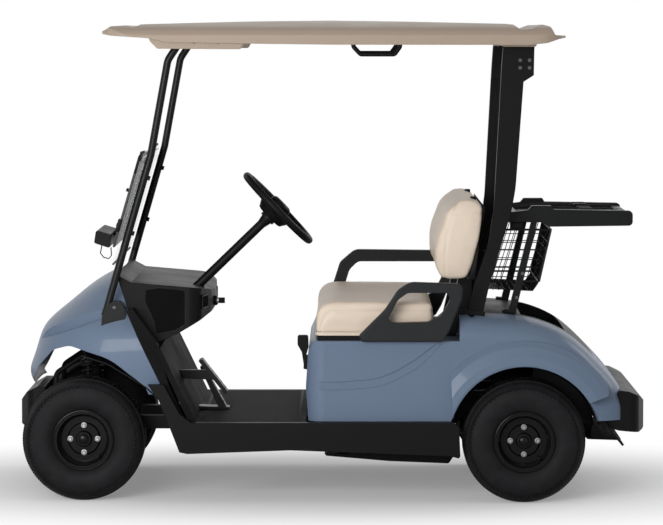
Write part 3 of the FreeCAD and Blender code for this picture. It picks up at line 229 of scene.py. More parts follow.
def rubber(base):
    material = principled("tyre_rubber", base, 0.6, Specular_IOR_Level=0.1)
    varied(material, noise(material, 25.0), "Base Color", shade(base, 0.8), shade(base, 1.3))
    return bumped(material, noise(material, 300.0, 3.0), 0.2, 0.0006)


def glazing(name, base, alpha):
    material = principled(name, base, 0.2, IOR=1.45, Specular_IOR_Level=0.02, Alpha=alpha)
    varied(material, noise(material, 3.0, 1.0), "Roughness", 0.12, 0.30)
    return material


def steel(name, base, roughness):
    material = principled(name, base, roughness, Metallic=1.0)
    return bumped(material, noise(material, 200.0, 2.0), 0.1, 0.0003)


def woven(base):
    """Strap webbing: fine ribs across the strap."""
    material = principled("webbing", base, 0.8, Specular_IOR_Level=0.15)
    place = add(material, "ShaderNodeTexCoord")
    ribs = add(material, "ShaderNodeTexWave", Scale=160.0, Distortion=0.4)
    join(material, place, "Object", "Vector", ribs)
    return bumped(material, ribs, 0.4, 0.0006)


FINISHES = {
    "body_paint": lambda tints: eased(body_paint(tints.body_paint), 0.004),
    "roof_shell": lambda tints: eased(moulded("roof_shell", tints.roof_shell, 0.34, 260.0, 0.0004), 0.005),
    "seat_vinyl": lambda tints: vinyl(tints.seat_vinyl),
    "tyre_rubber": lambda tints: rubber(tints.rubber),
    "rim_steel": lambda tints: eased(coated_steel("rim_steel", tints.gloss_black, 0.20), 0.002),
    "moulded_black": lambda tints: eased(
        moulded("moulded_black", tints.moulded_black, 0.42, 500.0, 0.0005), 0.003),
    "black_tube": lambda tints: eased(coated_steel("black_tube", tints.tube_black, 0.32), 0.002),
    "frame_paint": lambda tints: coated_steel("frame_paint", tints.frame_black, 0.5),
    "pane": lambda tints: glazing("pane", tints.glazing, 0.10),
    "smoked_pane": lambda tints: glazing("smoked_pane", tints.smoked, 0.97),
    "pane_edge": lambda tints: principled("pane_edge", tints.glazing, 0.3),
    # Painted shade: a near-black finish for the sheet over the dash's open ends.
    "hollow_painted_shade": lambda tints: moulded("hollow_painted_shade", tints.hollow_painted_shade, 0.8, 300.0, 0.0003),
    "bright_steel": lambda tints: steel("bright_steel", tints.bright_steel, 0.35),
    "dull_steel": lambda tints: steel("dull_steel", tints.dull_steel, 0.5),
    "engine_metal": lambda tints: coated_steel("engine_metal", tints.frame_black, 0.5),
    "arm_pad": lambda tints: eased(moulded("arm_pad", tints.arm_pad, 0.38, 500.0, 0.0005), 0.003),
    "floor_black": lambda tints: moulded("floor_black", tints.moulded_black, 0.7, 300.0, 0.0006),
    "pane_rail": lambda tints: coated_steel("pane_rail", tints.pane_rail, 0.45),
    "webbing": lambda tints: woven(tints.webbing),
}


def dress(piece, finish):
    """Gives a piece one finish, made on its first use."""
    if f"cart_{finish}" not in bpy.data.materials:
        FINISHES[finish](bpy.context.scene.cart_colours)
    piece.data.materials.clear()
    piece.data.materials.append(bpy.data.materials[f"cart_{finish}"])


class CART_OT_finish_nodes(bpy.types.Operator):
    """Give every part of the frame its finish"""
    bl_idname = "cart.finish_nodes"
    bl_label = "Finish the parts"

    def execute(self, context):
        own = {"armrests": "arm_pad", "seat_pan": "moulded_black", "kick_panel": "floor_black",
               "floor_pan": "floor_black", "windshield_upper": "smoked_pane"}
        for row in frame["record"]["subparts"]:
            dress(NODES[row["node"]], own.get(row["node"], row["material_slot"]))
        return {"FINISHED"}


# Making pieces

def mm(x, y, z):
    return Vector((x, y, z)) / 1000


def placed(name, bm):
    """Turns a finished mesh into an object of the scene."""
    bmesh.ops.recalc_face_normals(bm, faces=bm.faces)
    mesh = bpy.data.meshes.new(name)
    bm.to_mesh(mesh)
    bm.free()
    item = bpy.data.objects.new(name, mesh)
    bpy.context.scene.collection.objects.link(item)
    return item


def finished(name, bm, finish, body="chassis", smooth=30.0):
    """Puts a mesh into the scene as one piece that rides on a body; smooth is an angle in degrees."""
    item = placed(name, bm)
    item.data.shade_smooth()
    item.data.set_sharp_from_angle(angle=math.radians(smooth))
    dress(item, finish)
    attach(item, body)
    return item


def shift(bm, parts, move):
    """Moves what an extrusion made."""
    bmesh.ops.translate(bm, verts=[part for part in parts if isinstance(part, bmesh.types.BMVert)],
                        vec=move)


def slab(bm, outline, low_y, high_y):
    """A side outline of X and Z points, in mm, carried across the cart between two places in metres."""
    face = bm.faces.new([bm.verts.new((x / 1000, low_y, z / 1000)) for x, z in outline])
    pushed = bmesh.ops.extrude_face_region(bm, geom=[face])["geom"]
    shift(bm, pushed, (0, high_y - low_y, 0))


def joint_named(name):
    return next(joint for joint in frame["joints"] if joint["name"] == name)


def along(start, end):
    """A turn and a place that set a form made about Z between two points."""
    run = end - start
    turn = run.to_track_quat("Z", "Y").to_matrix().to_4x4()
    return Matrix.Translation((start + end) / 2) @ turn, run.length


def bar(bm, start, end, radius, sides=10, end_radius=None):
    place, run = along(start, end)
    bmesh.ops.create_cone(bm, cap_ends=True, segments=sides, radius1=radius,
                          radius2=radius if end_radius is None else end_radius, depth=run, matrix=place)


def block(bm, low, high, edge=0.0, segments=2):
    """A box between two corners with its edges rounded."""
    low, high = Vector(low), Vector(high)
    stretch = Matrix.Diagonal((*(high - low), 1.0))
    made = bmesh.ops.create_cube(bm, size=1.0, matrix=Matrix.Translation((low + high) / 2) @ stretch)
    if edge:
        edges = list({line for vert in made["verts"] for line in vert.link_edges})
        bmesh.ops.bevel(bm, geom=edges, offset=edge, segments=segments, profile=0.5, affect="EDGES",
                        material=-1)


def swept(bm, points, radius, sides=8, closed=False):
    """A round wire along points."""
    count = len(points)

    def heading(index):
        if closed:
            return (points[(index + 1) % count] - points[index - 1]).normalized()
        return (points[min(index + 1, count - 1)] - points[max(index - 1, 0)]).normalized()

    side = heading(0).orthogonal().normalized()
    rings = []
    for index, point in enumerate(points):
        ahead = heading(index)
        side = (side - ahead * side.dot(ahead)).normalized()
        turn = Matrix((side, ahead.cross(side), ahead)).transposed().to_4x4()
        made = bmesh.ops.create_circle(bm, segments=sides, radius=radius,
                                       matrix=Matrix.Translation(point) @ turn)
        rings.append(list({line for vert in made["verts"] for line in vert.link_edges}))
    for here, there in zip(rings, rings[1:] + (rings[:1] if closed else [])):
        bmesh.ops.bridge_loops(bm, edges=here + there)
    if not closed:
        bmesh.ops.holes_fill(bm, edges=rings[0] + rings[-1], sides=0)


def turned(bm, section, centre, outward, steps, closed=False):
    """Spins a section of radius and distance about the line along Y through a point."""
    verts = [bm.verts.new((centre.x + radius, centre.y + outward * out, centre.z))
             for radius, out in section]
    edges = [bm.edges.new(pair) for pair in zip(verts, verts[1:])]
    if closed:
        edges.append(bm.edges.new((verts[-1], verts[0])))
    bmesh.ops.spin(bm, geom=verts + edges, cent=centre, axis=(0, 1, 0), angle=math.tau, steps=steps,
                   use_merge=True, use_duplicate=False)


def bolt(bm, place, outward, radius):
    """A domed bolt head on its washer."""
    outward = Vector(outward).normalized()
    washer, shoulder = radius * 1.45, radius * 0.88
    bar(bm, place - outward * 0.001, place + outward * 0.0018, washer, 20)
    bar(bm, place, place + outward * radius * 0.7, radius, 12, shoulder)
    bar(bm, place + outward * radius * 0.7, place + outward * radius * 0.95, shoulder, 12, radius * 0.5)


# Wheels

WHEELS = [f"{end}_{side}" for end in ("front", "rear") for side in ("left", "right")]


def wheel_place(wheel):
    """The middle of a wheel, and the way out from the cart along Y."""
    low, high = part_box(f"tyre_{wheel}")
    return (low + high) / 2, -1 if "left" in wheel else 1


class CART_OT_tyres(bpy.types.Operator):
    """Turf tyres with a zig-zag tread edge and low blocks"""
    bl_idname = "cart.tyres"
    bl_label = "Tyres"

    def execute(self, context):
        depth = context.scene.cart_sizes.tread_depth
        steps = 144
        groove_low, groove_high, zigzag = 0.196, 0.206, 0.0032
        tread_half, wave = 0.066, 0.0035
        for wheel in WHEELS:
            centre, outward = wheel_place(wheel)
            outer = (Vector(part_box(f"tyre_{wheel}")[1]) - centre).z
            base = outer - depth
            tread_low = base - 0.004
            half = [(0.1022, 0.0800), (0.1125, 0.0805), (0.1150, 0.0895), (0.1180, 0.0910), (0.1260, 0.0995),
                    (0.1400, 0.1050), (0.1580, 0.1074), (0.1760, 0.1058), (0.1900, 0.1018),
                    (0.1965, 0.0986), (0.1995, 0.0918), (0.2030, 0.0918), (0.2055, 0.0968),
                    (0.2120, 0.0915), (0.2180, 0.0815), (base - 0.001, 0.0660), (base, 0.0440),
                    (base, 0.0220), (base, 0.0)]
            section = [(radius, -out) for radius, out in half] + [
                (radius, out) for radius, out in reversed(half[:-1])]
            bm = bmesh.new()
            turned(bm, section, centre, outward, steps, closed=True)
            bmesh.ops.recalc_face_normals(bm, faces=bm.faces)
            for vert in bm.verts:
                away = vert.co - centre
                reach = math.hypot(away.x, away.z)
                odd = 1 if round(math.atan2(away.z, away.x) / math.tau * steps) % 2 else -1
                if groove_low < reach < groove_high and abs(away.y) > 0.09:
                    grown = (reach + zigzag * odd) / reach
                    vert.co.x, vert.co.z = centre.x + away.x * grown, centre.z + away.z * grown
                elif abs(away.y) < 0.05 and reach > tread_low:
                    vert.co.y += wave * odd
            tread = [face for face in bm.faces
                     if math.hypot(*(face.calc_center_median() - centre).xz) > tread_low
                     and abs(face.calc_center_median().y - centre.y) < tread_half]
            bmesh.ops.inset_individual(bm, faces=tread, thickness=0.0016, depth=depth * 0.94,
                                       use_even_offset=True)
            for vert in bm.verts:
                away = vert.co - centre
                reach = math.hypot(away.x, away.z)
                if reach > outer:
                    vert.co.x = centre.x + away.x * outer / reach
                    vert.co.z = centre.z + away.z * outer / reach
            item = finished(f"turf_tyre_{wheel}", bm, "tyre_rubber", f"wheel_{wheel}", 32.0)
            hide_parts(f"tyre_{wheel}")
        return {"FINISHED"}


class CART_OT_wheel_fittings(bpy.types.Operator):
    """Nuts, hub caps, rolled rim beads and valve stems of the wheels"""
    bl_idname = "cart.wheel_fittings"
    bl_label = "Wheel fittings"

    def execute(self, context):
        circle = context.scene.cart_sizes.nut_circle
        nuts, disc_face = 4, 0.0385
        stem_angle, stem_circle, stem_foot = math.radians(-48), 0.084, 0.048
        for wheel in WHEELS:
            centre, outward = wheel_place(wheel)
            out = Vector((0, outward, 0))
            bm = bmesh.new()
            for turn in range(nuts):
                angle = math.tau * turn / nuts
                place = centre + Vector((math.cos(angle), 0, math.sin(angle))) * circle + out * disc_face
                bar(bm, place - out * 0.001, place + out * 0.003, 0.0112, 20, 0.0100)
                bar(bm, place + out * 0.003, place + out * 0.0135, 0.0092, 6)
                bar(bm, place + out * 0.0135, place + out * 0.0165, 0.0080, 6, 0.0050)
            finished(f"wheel_nuts_{wheel}", bm, "bright_steel", f"wheel_{wheel}")
            bm = bmesh.new()
            cap = [(0.0, 0.068), (0.010, 0.0675), (0.0155, 0.065), (0.0180, 0.060), (0.0185, 0.0515),
                   (0.0215, 0.0510)]
            turned(bm, cap, centre, outward, 28)
            bead = [(0.1100, 0.0895), (0.1125, 0.0905), (0.1138, 0.0930), (0.1125, 0.0955),
                    (0.1098, 0.0962), (0.1075, 0.0945), (0.1078, 0.0905)]
            turned(bm, bead, centre, outward, 64, closed=True)
            ray = Vector((math.cos(stem_angle), 0, math.sin(stem_angle)))
            stem = centre + ray * stem_circle + out * stem_foot
            bar(bm, stem - out * 0.006, stem + out * 0.020, 0.0048, 12, 0.0040)
            bar(bm, stem + out * 0.020, stem + out * 0.029, 0.0044, 12)
            bmesh.ops.remove_doubles(bm, verts=bm.verts, dist=1e-6)
            finished(f"hub_cap_{wheel}", bm, "rim_steel", f"wheel_{wheel}")
        return {"FINISHED"}


# Cushion and backrest

def pad_form(name, outline, half, radius):
    """A side outline carried across the cart to both sides of its middle, with all its edges rounded."""
    bm = bmesh.new()
    slab(bm, outline, -half, half)
    bmesh.ops.bevel(bm, geom=bm.edges[:], offset=radius, segments=5, profile=0.5, affect="EDGES",
                    material=-1, clamp_overlap=True)
    return placed(name, bm)


def with_modifier(item, kind, **values):
    modifier = item.modifiers.new(kind.lower(), kind)
    for name, value in values.items():
        setattr(modifier, name, value)
    return modifier


def applied(item):
    """Works the object's modifiers into its mesh."""
    graph = bpy.context.evaluated_depsgraph_get()
    mesh = bpy.data.meshes.new_from_object(item.evaluated_get(graph))
    item.modifiers.clear()
    item.data = mesh


def stuffed(item, voxel, swell):
    """Fills the cover as foam does: cloth under pressure, each point held to a small move."""
    with_modifier(item, "REMESH", mode="VOXEL", voxel_size=voxel, use_smooth_shade=True)
    with_modifier(item, "SMOOTH", factor=0.5, iterations=2)
    applied(item)
    rest = [vert.co.copy() for vert in item.data.vertices]
    frames = 20
    cloth = with_modifier(item, "CLOTH")
    cloth.settings.use_pressure = True
    cloth.settings.uniform_pressure_force = 4.0
    cloth.settings.effector_weights.gravity = 0.0
    for number in range(1, frames + 1):
        bpy.context.scene.frame_set(number)
    applied(item)
    bpy.context.scene.frame_set(1)
    for vert, start in zip(item.data.vertices, rest):
        move = vert.co - start
        if move.length > swell:
            vert.co = start + move.normalized() * swell
    with_modifier(item, "SMOOTH", factor=0.5, iterations=22)
    applied(item)


def sewn(item, lines, width=0.005, depth=0.0035):
    """Presses seams into the cover; a line gives how far a point lies from its seam, or None."""
    for vert, normal in [(vert, vert.normal.copy()) for vert in item.data.vertices]:
        for line in lines:
            off = line(vert.co)
            if off is not None and off < 3 * width:
                vert.co -= normal * depth * math.exp(-(off / width) ** 2)


def within(item, node):
    """Keeps a soft piece inside the room that its plain solid has."""
    low, high = (Vector(corner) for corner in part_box(node))
    for vert in item.data.vertices:
        for axis in range(3):
            vert.co[axis] = min(max(vert.co[axis], low[axis] + 0.0002), high[axis] - 0.0002)


def line_at(height, line):
    """Where a side line of X and Z points, in mm, is at a height."""
    for (x0, z0), (x1, z1) in zip(line, line[1:]):
        if min(z0, z1) <= height <= max(z0, z1) and z0 != z1:
            return x0 + (x1 - x0) * (height - z0) / (z1 - z0)
    return line[0][0] if abs(height - line[0][1]) < abs(height - line[-1][1]) else line[-1][0]


def bolster_seam(co):
    """The crease that runs up the front of the cushion's side and back below its top."""
    centre_x, centre_z, reach, rise = 0.010, 0.603, 0.052, 0.105
    if abs(co.y) < 0.49:
        return None
    if co.x > centre_x:
        return abs(co.z - centre_z - rise)
    across, up = (co.x - centre_x) / reach, (co.z - centre_z) / rise
    return abs(math.hypot(across, up) - 1) * 0.06


BACK_EDGE = [(426, 827), (424, 905), (432, 994), (448, 1073), (476, 1129)]


def back_edge(co):
    """The crease between the backrest's front and its sides."""
    if abs(co.y) < 0.43:
        return None
    return abs(co.x * 1000 - line_at(co.z * 1000, BACK_EDGE)) / 1000


def shoulder_seam(co):
    """The seam on the backrest's sides, below its top."""
    return abs(co.z - 1.071) if abs(co.y) > 0.43 and co.x > 0.45 else None


class CART_OT_seat(bpy.types.Operator):
    """The stuffed seat cushion and backrest with their seams"""
    bl_idname = "cart.seat"
    bl_label = "Cushion and backrest"

    def execute(self, context):
        voxel = context.scene.cart_sizes.cloth_voxel
        swell = 0.004
        cushion_outline = [(-58, 621), (382, 621), (382, 740), (150, 746), (20, 746), (-28, 738),
                           (-54, 712), (-58, 670)]
        back_outline = [(414, 824), (505, 824), (530, 880), (556, 975), (565, 1040), (566, 1104),
                        (532, 1126), (480, 1124), (434, 1080), (399, 990), (390, 930), (394, 868)]
        cushion = pad_form("cushion", cushion_outline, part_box("seat_cushion")[1][1] - 0.005, 0.015)
        stuffed(cushion, voxel, swell)
        sewn(cushion, [bolster_seam])
        within(cushion, "seat_cushion")
        back = pad_form("backrest", back_outline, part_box("seat_back")[1][1] - 0.006, 0.013)
        stuffed(back, voxel, swell)
        sewn(back, [back_edge, shoulder_seam])
        within(back, "seat_back")
        for item, node, body in ((cushion, "seat_cushion", "seat"), (back, "seat_back", "chassis")):
            with_modifier(item, "SUBSURF", levels=1, render_levels=1)
            item.data.shade_smooth()
            dress(item, "seat_vinyl")
            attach(item, body)
            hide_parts(node)
        return {"FINISHED"}


class CART_OT_seat_trim(bpy.types.Operator):
    """The backrest's moulded shell and the edge of the cover round the seat's base"""
    bl_idname = "cart.seat_trim"
    bl_label = "Backrest shell and cover edge"

    def execute(self, context):
        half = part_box("seat_back")[1][1] - 0.016
        bm = bmesh.new()
        shell = [(510, 824), (538, 824), (574, 1088), (567, 1104), (564, 1040), (556, 975), (531, 880)]
        slab(bm, shell, -half, half)
        bmesh.ops.bevel(bm, geom=bm.edges[:], offset=0.002, segments=2, profile=0.5, affect="EDGES",
                        material=-1)
        for side in (-1, 1):
            block(bm, mm(524, side * 302 - 12, 1112), mm(546, side * 302 + 12, 1127), 0.003)
        finished("backrest_shell", bm, "moulded_black")
        low, high = (Vector(corner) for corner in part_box("seat_cushion"))
        bm = bmesh.new()
        inset, foot, height, corner = 0.002, 0.62075, 0.0115, 0.03
        block(bm, (low.x + inset, low.y + inset, foot), (high.x - inset, high.y - inset, foot + height))
        upright = [edge for edge in bm.edges if abs(edge.verts[0].co.z - edge.verts[1].co.z) > height / 2]
        bmesh.ops.bevel(bm, geom=upright, offset=corner, segments=6, profile=0.5, affect="EDGES",
                        material=-1)
        caps = [face for face in bm.faces if abs(face.normal.z) > 0.9]
        bmesh.ops.delete(bm, geom=caps, context="FACES_ONLY")
        bmesh.ops.solidify(bm, geom=bm.faces[:], thickness=0.003)
        finished("cover_edge", bm, "seat_vinyl", "seat")
        return {"FINISHED"}


# Rack and basket

class CART_OT_basket(bpy.types.Operator):
    """The wire basket between the rack posts"""
    bl_idname = "cart.basket"
    bl_label = "Basket"

    def execute(self, context):
        sizes = context.scene.cart_sizes
        wire, rim = sizes.wire, sizes.rim_wire
        corner = 14
        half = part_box("basket")[1][1] * 1000 - corner
        front = [(591, 778), (591, 868), (660, 1000)]
        rear = [(760, 767), (782, 792), (816, 931), (832, 1004)]
        top, low_rim = 1000, 804
        front_foot, rear_foot, front_head, rear_head = 591, 770, 660, 832
        bm = bmesh.new()
        for high in (low_rim, 822, 857, 887, 925, 952, top):
            start, end = line_at(high, front), line_at(high, rear)
            thick = rim if high in (low_rim, top) else wire
            loop = [mm(start, -half, high), mm(end - corner, -half, high), mm(end, corner - half, high),
                    mm(end, half - corner, high), mm(end - corner, half, high), mm(start, half, high)]
            swept(bm, loop, thick, 6, closed=True)
        for side in (-1, 1):
            for share in (0.0, 0.12, 0.24, 0.42, 0.6, 0.78, 0.9):
                foot = front_foot + (rear_foot - front_foot) * share
                head = front_head + (rear_head - front_head) * share
                swept(bm, [mm(foot, side * (half - 20), 772 - 4 * share), mm(foot + 2, side * half, 790),
                           mm(head, side * half, top)], wire, 6)
            swept(bm, [mm(786, side * half, 803), mm(830, side * half, top)], rim, 8)
        across = 24
        for number in range(across + 1):
            y = corner - half + 2 * (half - corner) * number / across
            swept(bm, [mm(762, y, 767), mm(782, y, 795), mm(816, y, 931), mm(rear_head, y, top)], wire, 6)
            if number % 2 == 0:
                swept(bm, [mm(front_head, y, top), mm(front_foot, y, 868), mm(front_foot, y, 776),
                           mm(762, y, 768)], wire, 6)
        for number in range(1, 8):
            x = front_foot + 22 * number
            swept(bm, [mm(x, corner - half, 775 - number), mm(x, half - corner, 775 - number)], wire, 6)
        for side in (-1, 1):
            near, far = sorted((side * half, side * (half + 8)))
            block(bm, mm(675, near, 1003), mm(722, far, 1030), 0.002)
        item = finished("wire_basket", bm, "black_tube", smooth=45.0)
        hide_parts("basket")
        return {"FINISHED"}


class CART_OT_straps(bpy.types.Operator):
    """The bag straps that lie over the rack, with their buckles"""
    bl_idname = "cart.straps"
    bl_label = "Bag straps"

    def execute(self, context):
        straps, buckles = bmesh.new(), bmesh.new()
        line = [(700, 1068), (760, 1070), (830, 1077), (900, 1079), (950, 1073), (1010, 1076),
                (1080, 1073), (1118, 1070)]
        width = 0.025
        for middle in (-225, -105, 105, 225):
            verts = [straps.verts.new(mm(x, middle - 12 + 5 * math.sin(x / 60), z)) for x, z in line]
            edges = [straps.edges.new(pair) for pair in zip(verts, verts[1:])]
            pushed = bmesh.ops.extrude_edge_only(straps, edges=edges)["geom"]
            shift(straps, pushed, (0, width, 0))
            block(buckles, mm(938, middle - 17, 1071), mm(990, middle + 17, 1080), 0.003)
        strap = finished("bag_straps", straps, "webbing")
        with_modifier(strap, "SOLIDIFY", thickness=0.0022, offset=0.0)
        with_modifier(strap, "SUBSURF", levels=1, render_levels=1)
        finished("strap_buckles", buckles, "moulded_black")
        return {"FINISHED"}


# Front end

class CART_OT_front_springs(bpy.types.Operator):
    """Coil springs over their dampers at the front wheels"""
    bl_idname = "cart.front_springs"
    bl_label = "Front springs"

    def execute(self, context):
        low, high = (Vector(corner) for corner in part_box("coil_struts"))
        wire = context.scene.cart_sizes.spring_wire
        x = (low.x + high.x) / 2
        apart, damper_top = 0.248, low.z + 0.16
        coil_radius, coil_foot, coil_height = 0.0215, 0.345, 0.148
        turns, each = 7, 16
        bm = bmesh.new()
        for side in (-1, 1):
            y = side * apart
            foot = Vector((x, y, low.z))
            near, far = sorted((y - side * 0.02, y + side * 0.025))
            block(bm, (x - 0.018, near, low.z), (x + 0.018, far, low.z + 0.012), 0.002)
            bar(bm, foot + Vector((0, 0, 0.004)), Vector((x, y, damper_top)), 0.0155, 20)
            bar(bm, Vector((x, y, damper_top)), Vector((x, y, high.z)), 0.0065, 14)
            for plate in (0.340, 0.498):
                bar(bm, Vector((x, y, plate - 0.003)), Vector((x, y, plate + 0.003)), 0.0275, 28)
            coil = []
            for step in range(turns * each + 1):
                angle = math.tau * step / each
                coil.append(Vector((x + coil_radius * math.cos(angle), y + coil_radius * math.sin(angle),
                                    coil_foot + coil_height * step / (turns * each))))
            swept(bm, coil, wire, 8)
        item = finished("front_coil_springs", bm, "frame_paint")
        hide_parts("coil_struts")
        return {"FINISHED"}


class CART_OT_arch_liners(bpy.types.Operator):
    """Moulded liners that close the rear wheel arches behind the tyres"""
    bl_idname = "cart.arch_liners"
    bl_label = "Rear arch liners"

    def execute(self, context):
        hub = mm(718, 0, 228.6)
        low_end, high_end = math.radians(10), math.radians(80)
        start = Vector((math.cos(high_end), 0, math.sin(high_end)))
        bm = bmesh.new()
        for side in (-1, 1):
            section = [bm.verts.new(hub + start * reach + Vector((0, side * y, 0)))
                       for reach, y in ((0.200, 0.350), (0.271, 0.350), (0.271, 0.514))]
            lines = [bm.edges.new(pair) for pair in zip(section, section[1:])]
            bmesh.ops.spin(bm, geom=section + lines, cent=hub, axis=(0, 1, 0), angle=high_end - low_end,
                           steps=24, use_merge=False, use_duplicate=False)
        bmesh.ops.solidify(bm, geom=bm.faces[:], thickness=0.002)
        finished("arch_liners", bm, "moulded_black")
        return {"FINISHED"}


def bow_at(y):
    """The dash's rear face at a place across the cart, in mm."""
    return line_at(abs(y), [(-441, 0), (-452, 260), (-480, 424)])


class CART_OT_dash_fittings(bpy.types.Operator):
    """Key switch, lips of the pockets and of the dash's ends, a very dark sheet over each open end of the dash as
    painted shade of its hollow, and pedal treads
    """
    bl_idname = "cart.dash_fittings"
    bl_label = "Dash fittings"

    def execute(self, context):
        bm = bmesh.new()
        key = mm(-436, -150, 722)
        out = Vector((1, 0, 0))
        bar(bm, key - out * 0.002, key + out * 0.004, 0.0165, 28, 0.0150)
        bar(bm, key + out * 0.004, key + out * 0.007, 0.0100, 24)
        finished("key_switch", bm, "bright_steel")
        bm = bmesh.new()
        block(bm, key + Vector((0.006, -0.0012, -0.011)), key + Vector((0.030, 0.0012, 0.011)), 0.0008)
        for low, high in ((70, 424), (-424, -335)):
            loop = [mm(bow_at(low), low, 713), mm(bow_at(low), low, 758), mm(bow_at(high), high, 758),
                    mm(bow_at(high), high, 713)]
            swept(bm, loop, 0.003, 8, closed=True)
        ribs = 6
        for step in range(ribs):
            share = (step + 0.5) / ribs
            brake = (-492 + 96 * share, 505 - 120 * share)
            throttle = (-490 + 84 * share, 468 - 146 * share)
            for (x, z), near, far in ((brake, -248, -182), (throttle, -147, -99)):
                bar(bm, mm(x, near, z), mm(x, far, z), 0.0028, 8)
        finished("dash_trim", bm, "moulded_black")
        hollow_painted_shade, lips = bmesh.new(), bmesh.new()
        # A thin, very dark sheet over each open end of the dash is painted shade, standing in for the shade inside
        # the hollow; a lip runs round it.
        outline = [(-691, 785), (-640, 793), (-560, 786), (-543, 778), (-543, 655), (-580, 632),
                   (-652, 618), (-661, 668), (-694, 739)]
        end, face = 0.4523, 0.4535
        for side in (-1, 1):
            slab(hollow_painted_shade, outline, side * end, side * face)
            swept(lips, [mm(x, side * face * 1000, z) for x, z in outline], 0.0022, 8, closed=True)
        finished("dash_end_painted_shade", hollow_painted_shade, "hollow_painted_shade")
        finished("dash_lips", lips, "arm_pad")
        return {"FINISHED"}


class CART_OT_steering_hub(bpy.types.Operator):
    """The steering wheel's padded centre, and the skirt over the column's top"""
    bl_idname = "cart.steering_hub"
    bl_label = "Steering hub"

    def execute(self, context):
        joint = joint_named("steering_turn")
        hub, up = Vector(joint["pos_m"]), Vector(joint["axis"]).normalized()
        bm = bmesh.new()
        bar(bm, hub + up * 0.010, hub + up * 0.022, 0.046, 40, 0.043)
        bar(bm, hub + up * 0.022, hub + up * 0.028, 0.043, 40, 0.034)
        finished("steering_hub", bm, "moulded_black", "steering_wheel")
        bm = bmesh.new()
        place, run = along(hub - up * 0.046, hub - up * 0.060)
        bmesh.ops.create_cone(bm, cap_ends=False, segments=40, radius1=0.030, radius2=0.030, depth=run,
                              matrix=place)
        bmesh.ops.solidify(bm, geom=bm.faces[:], thickness=0.002)
        finished("steering_skirt", bm, "moulded_black", "steering_wheel")
        return {"FINISHED"}


def pane_fittings(rails, edging, half, foot):
    """The rails, the clamps and the knobs of the upper pane: X ahead, Z down along the pane."""
    for side in (-1, 1):
        near, far = sorted((side * (half - 0.010), side * (half + 0.001)))
        block(rails, (0.0028, near, 0.016), (0.0125, far, foot + 0.001), 0.001)
        near, far = sorted((side * (half - 0.030), side * (half + 0.003)))
        block(edging, (0.0030, near, 0.016), (0.0115, far, 0.082), 0.0015)
        block(edging, (0.0030, near, 0.262), (0.0195, far, 0.310), 0.002)
        for drop in (0.150, 0.286):
            knob = Vector((0.010, side * (half - 0.012), drop))
            bar(edging, knob, knob + Vector((0.0115, 0, 0)), 0.0065, 16)


def strut_knobs(edging, half):
    """The clamp knobs on the struts, behind the lower pane."""
    for side in (-1, 1):
        for drop in (0.086, 0.300):
            knob = Vector((-0.034, side * (half - 0.014), drop))
            bar(edging, knob, knob + Vector((-0.018, 0, 0)), 0.0085, 16)


class CART_OT_windshield_trim(bpy.types.Operator):
    """Rails, clamps, knobs and edging of the two windshield panes, and the wire loop under the mirror"""
    bl_idname = "cart.windshield_trim"
    bl_label = "Windshield trim"

    def execute(self, context):
        fold = Vector(joint_named("windshield_fold")["pos_m"])
        strut_bend, strut_foot = mm(-668, 0, 1290), mm(-842, 0, 690)
        down = (strut_foot - strut_bend).normalized()
        ahead = Vector((down.z, 0, -down.x))
        turn = Matrix((ahead, Vector((0, 1, 0)), down)).transposed().to_4x4()
        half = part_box("windshield_upper")[1][1]
        top = 0.0165
        for node, body, way, foot in (("windshield_upper", "windshield_upper", 1, 0.366),
                                      ("windshield_lower", "chassis", -1, 0.430)):
            edging, edge = bmesh.new(), bmesh.new()
            trims = [("edging", edging, "moulded_black"), ("edge", edge, "pane_edge")]
            if way > 0:
                rails = bmesh.new()
                trims.insert(0, ("rails", rails, "pane_rail"))
                pane_fittings(rails, edging, half, foot)
            else:
                strut_knobs(edging, half)
            middle = way * 0.008
            bar(edge, Vector((middle, 0.030 - half, top)), Vector((middle, half - 0.030, top)), 0.0022, 8)
            bar(edging, Vector((middle, 0.006 - half, foot)), Vector((middle, half - 0.006, foot)), 0.0040)
            for name, bm, finish in trims:
                bmesh.ops.transform(bm, matrix=Matrix.Translation(fold) @ turn, verts=bm.verts)
                finished(f"{name}_{node}", bm, finish, body)
        bm = bmesh.new()
        loop = [(-872, 938), (-878, 905), (-866, 889), (-846, 884), (-836, 897), (-838, 927)]
        swept(bm, [mm(x, -190, z) for x, z in loop], 0.0022, 8)
        finished("mirror_wire", bm, "black_tube", "windshield_upper")
        return {"FINISHED"}


# Body

class CART_OT_bolts(bpy.types.Operator):
    """Bolts and screws that show"""
    bl_idname = "cart.bolts"
    bl_label = "Bolts"

    def execute(self, context):
        head = context.scene.cart_sizes.bolt_head
        pillar = -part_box("rear_pillars")[0][1] * 1000 - 8
        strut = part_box("roof_struts_front")[1][1] * 1000
        places = [(x, 559, 1709, 1.0) for x in (-503, -415)]
        places += [(x, pillar, z, 0.8) for x, z in ((703, 1640), (738, 1640), (703, 1612), (738, 1612))]
        places += [(x, 313.5, z, 0.8) for x, z in ((700, 745), (722, 836))]
        places.append((-806, strut, 722, 0.7))
        bm = bmesh.new()
        for side in (-1, 1):
            for x, y, z, share in places:
                bolt(bm, mm(x, side * y, z), (0, side, 0), head * share)
        finished("bolts", bm, "dull_steel")
        return {"FINISHED"}


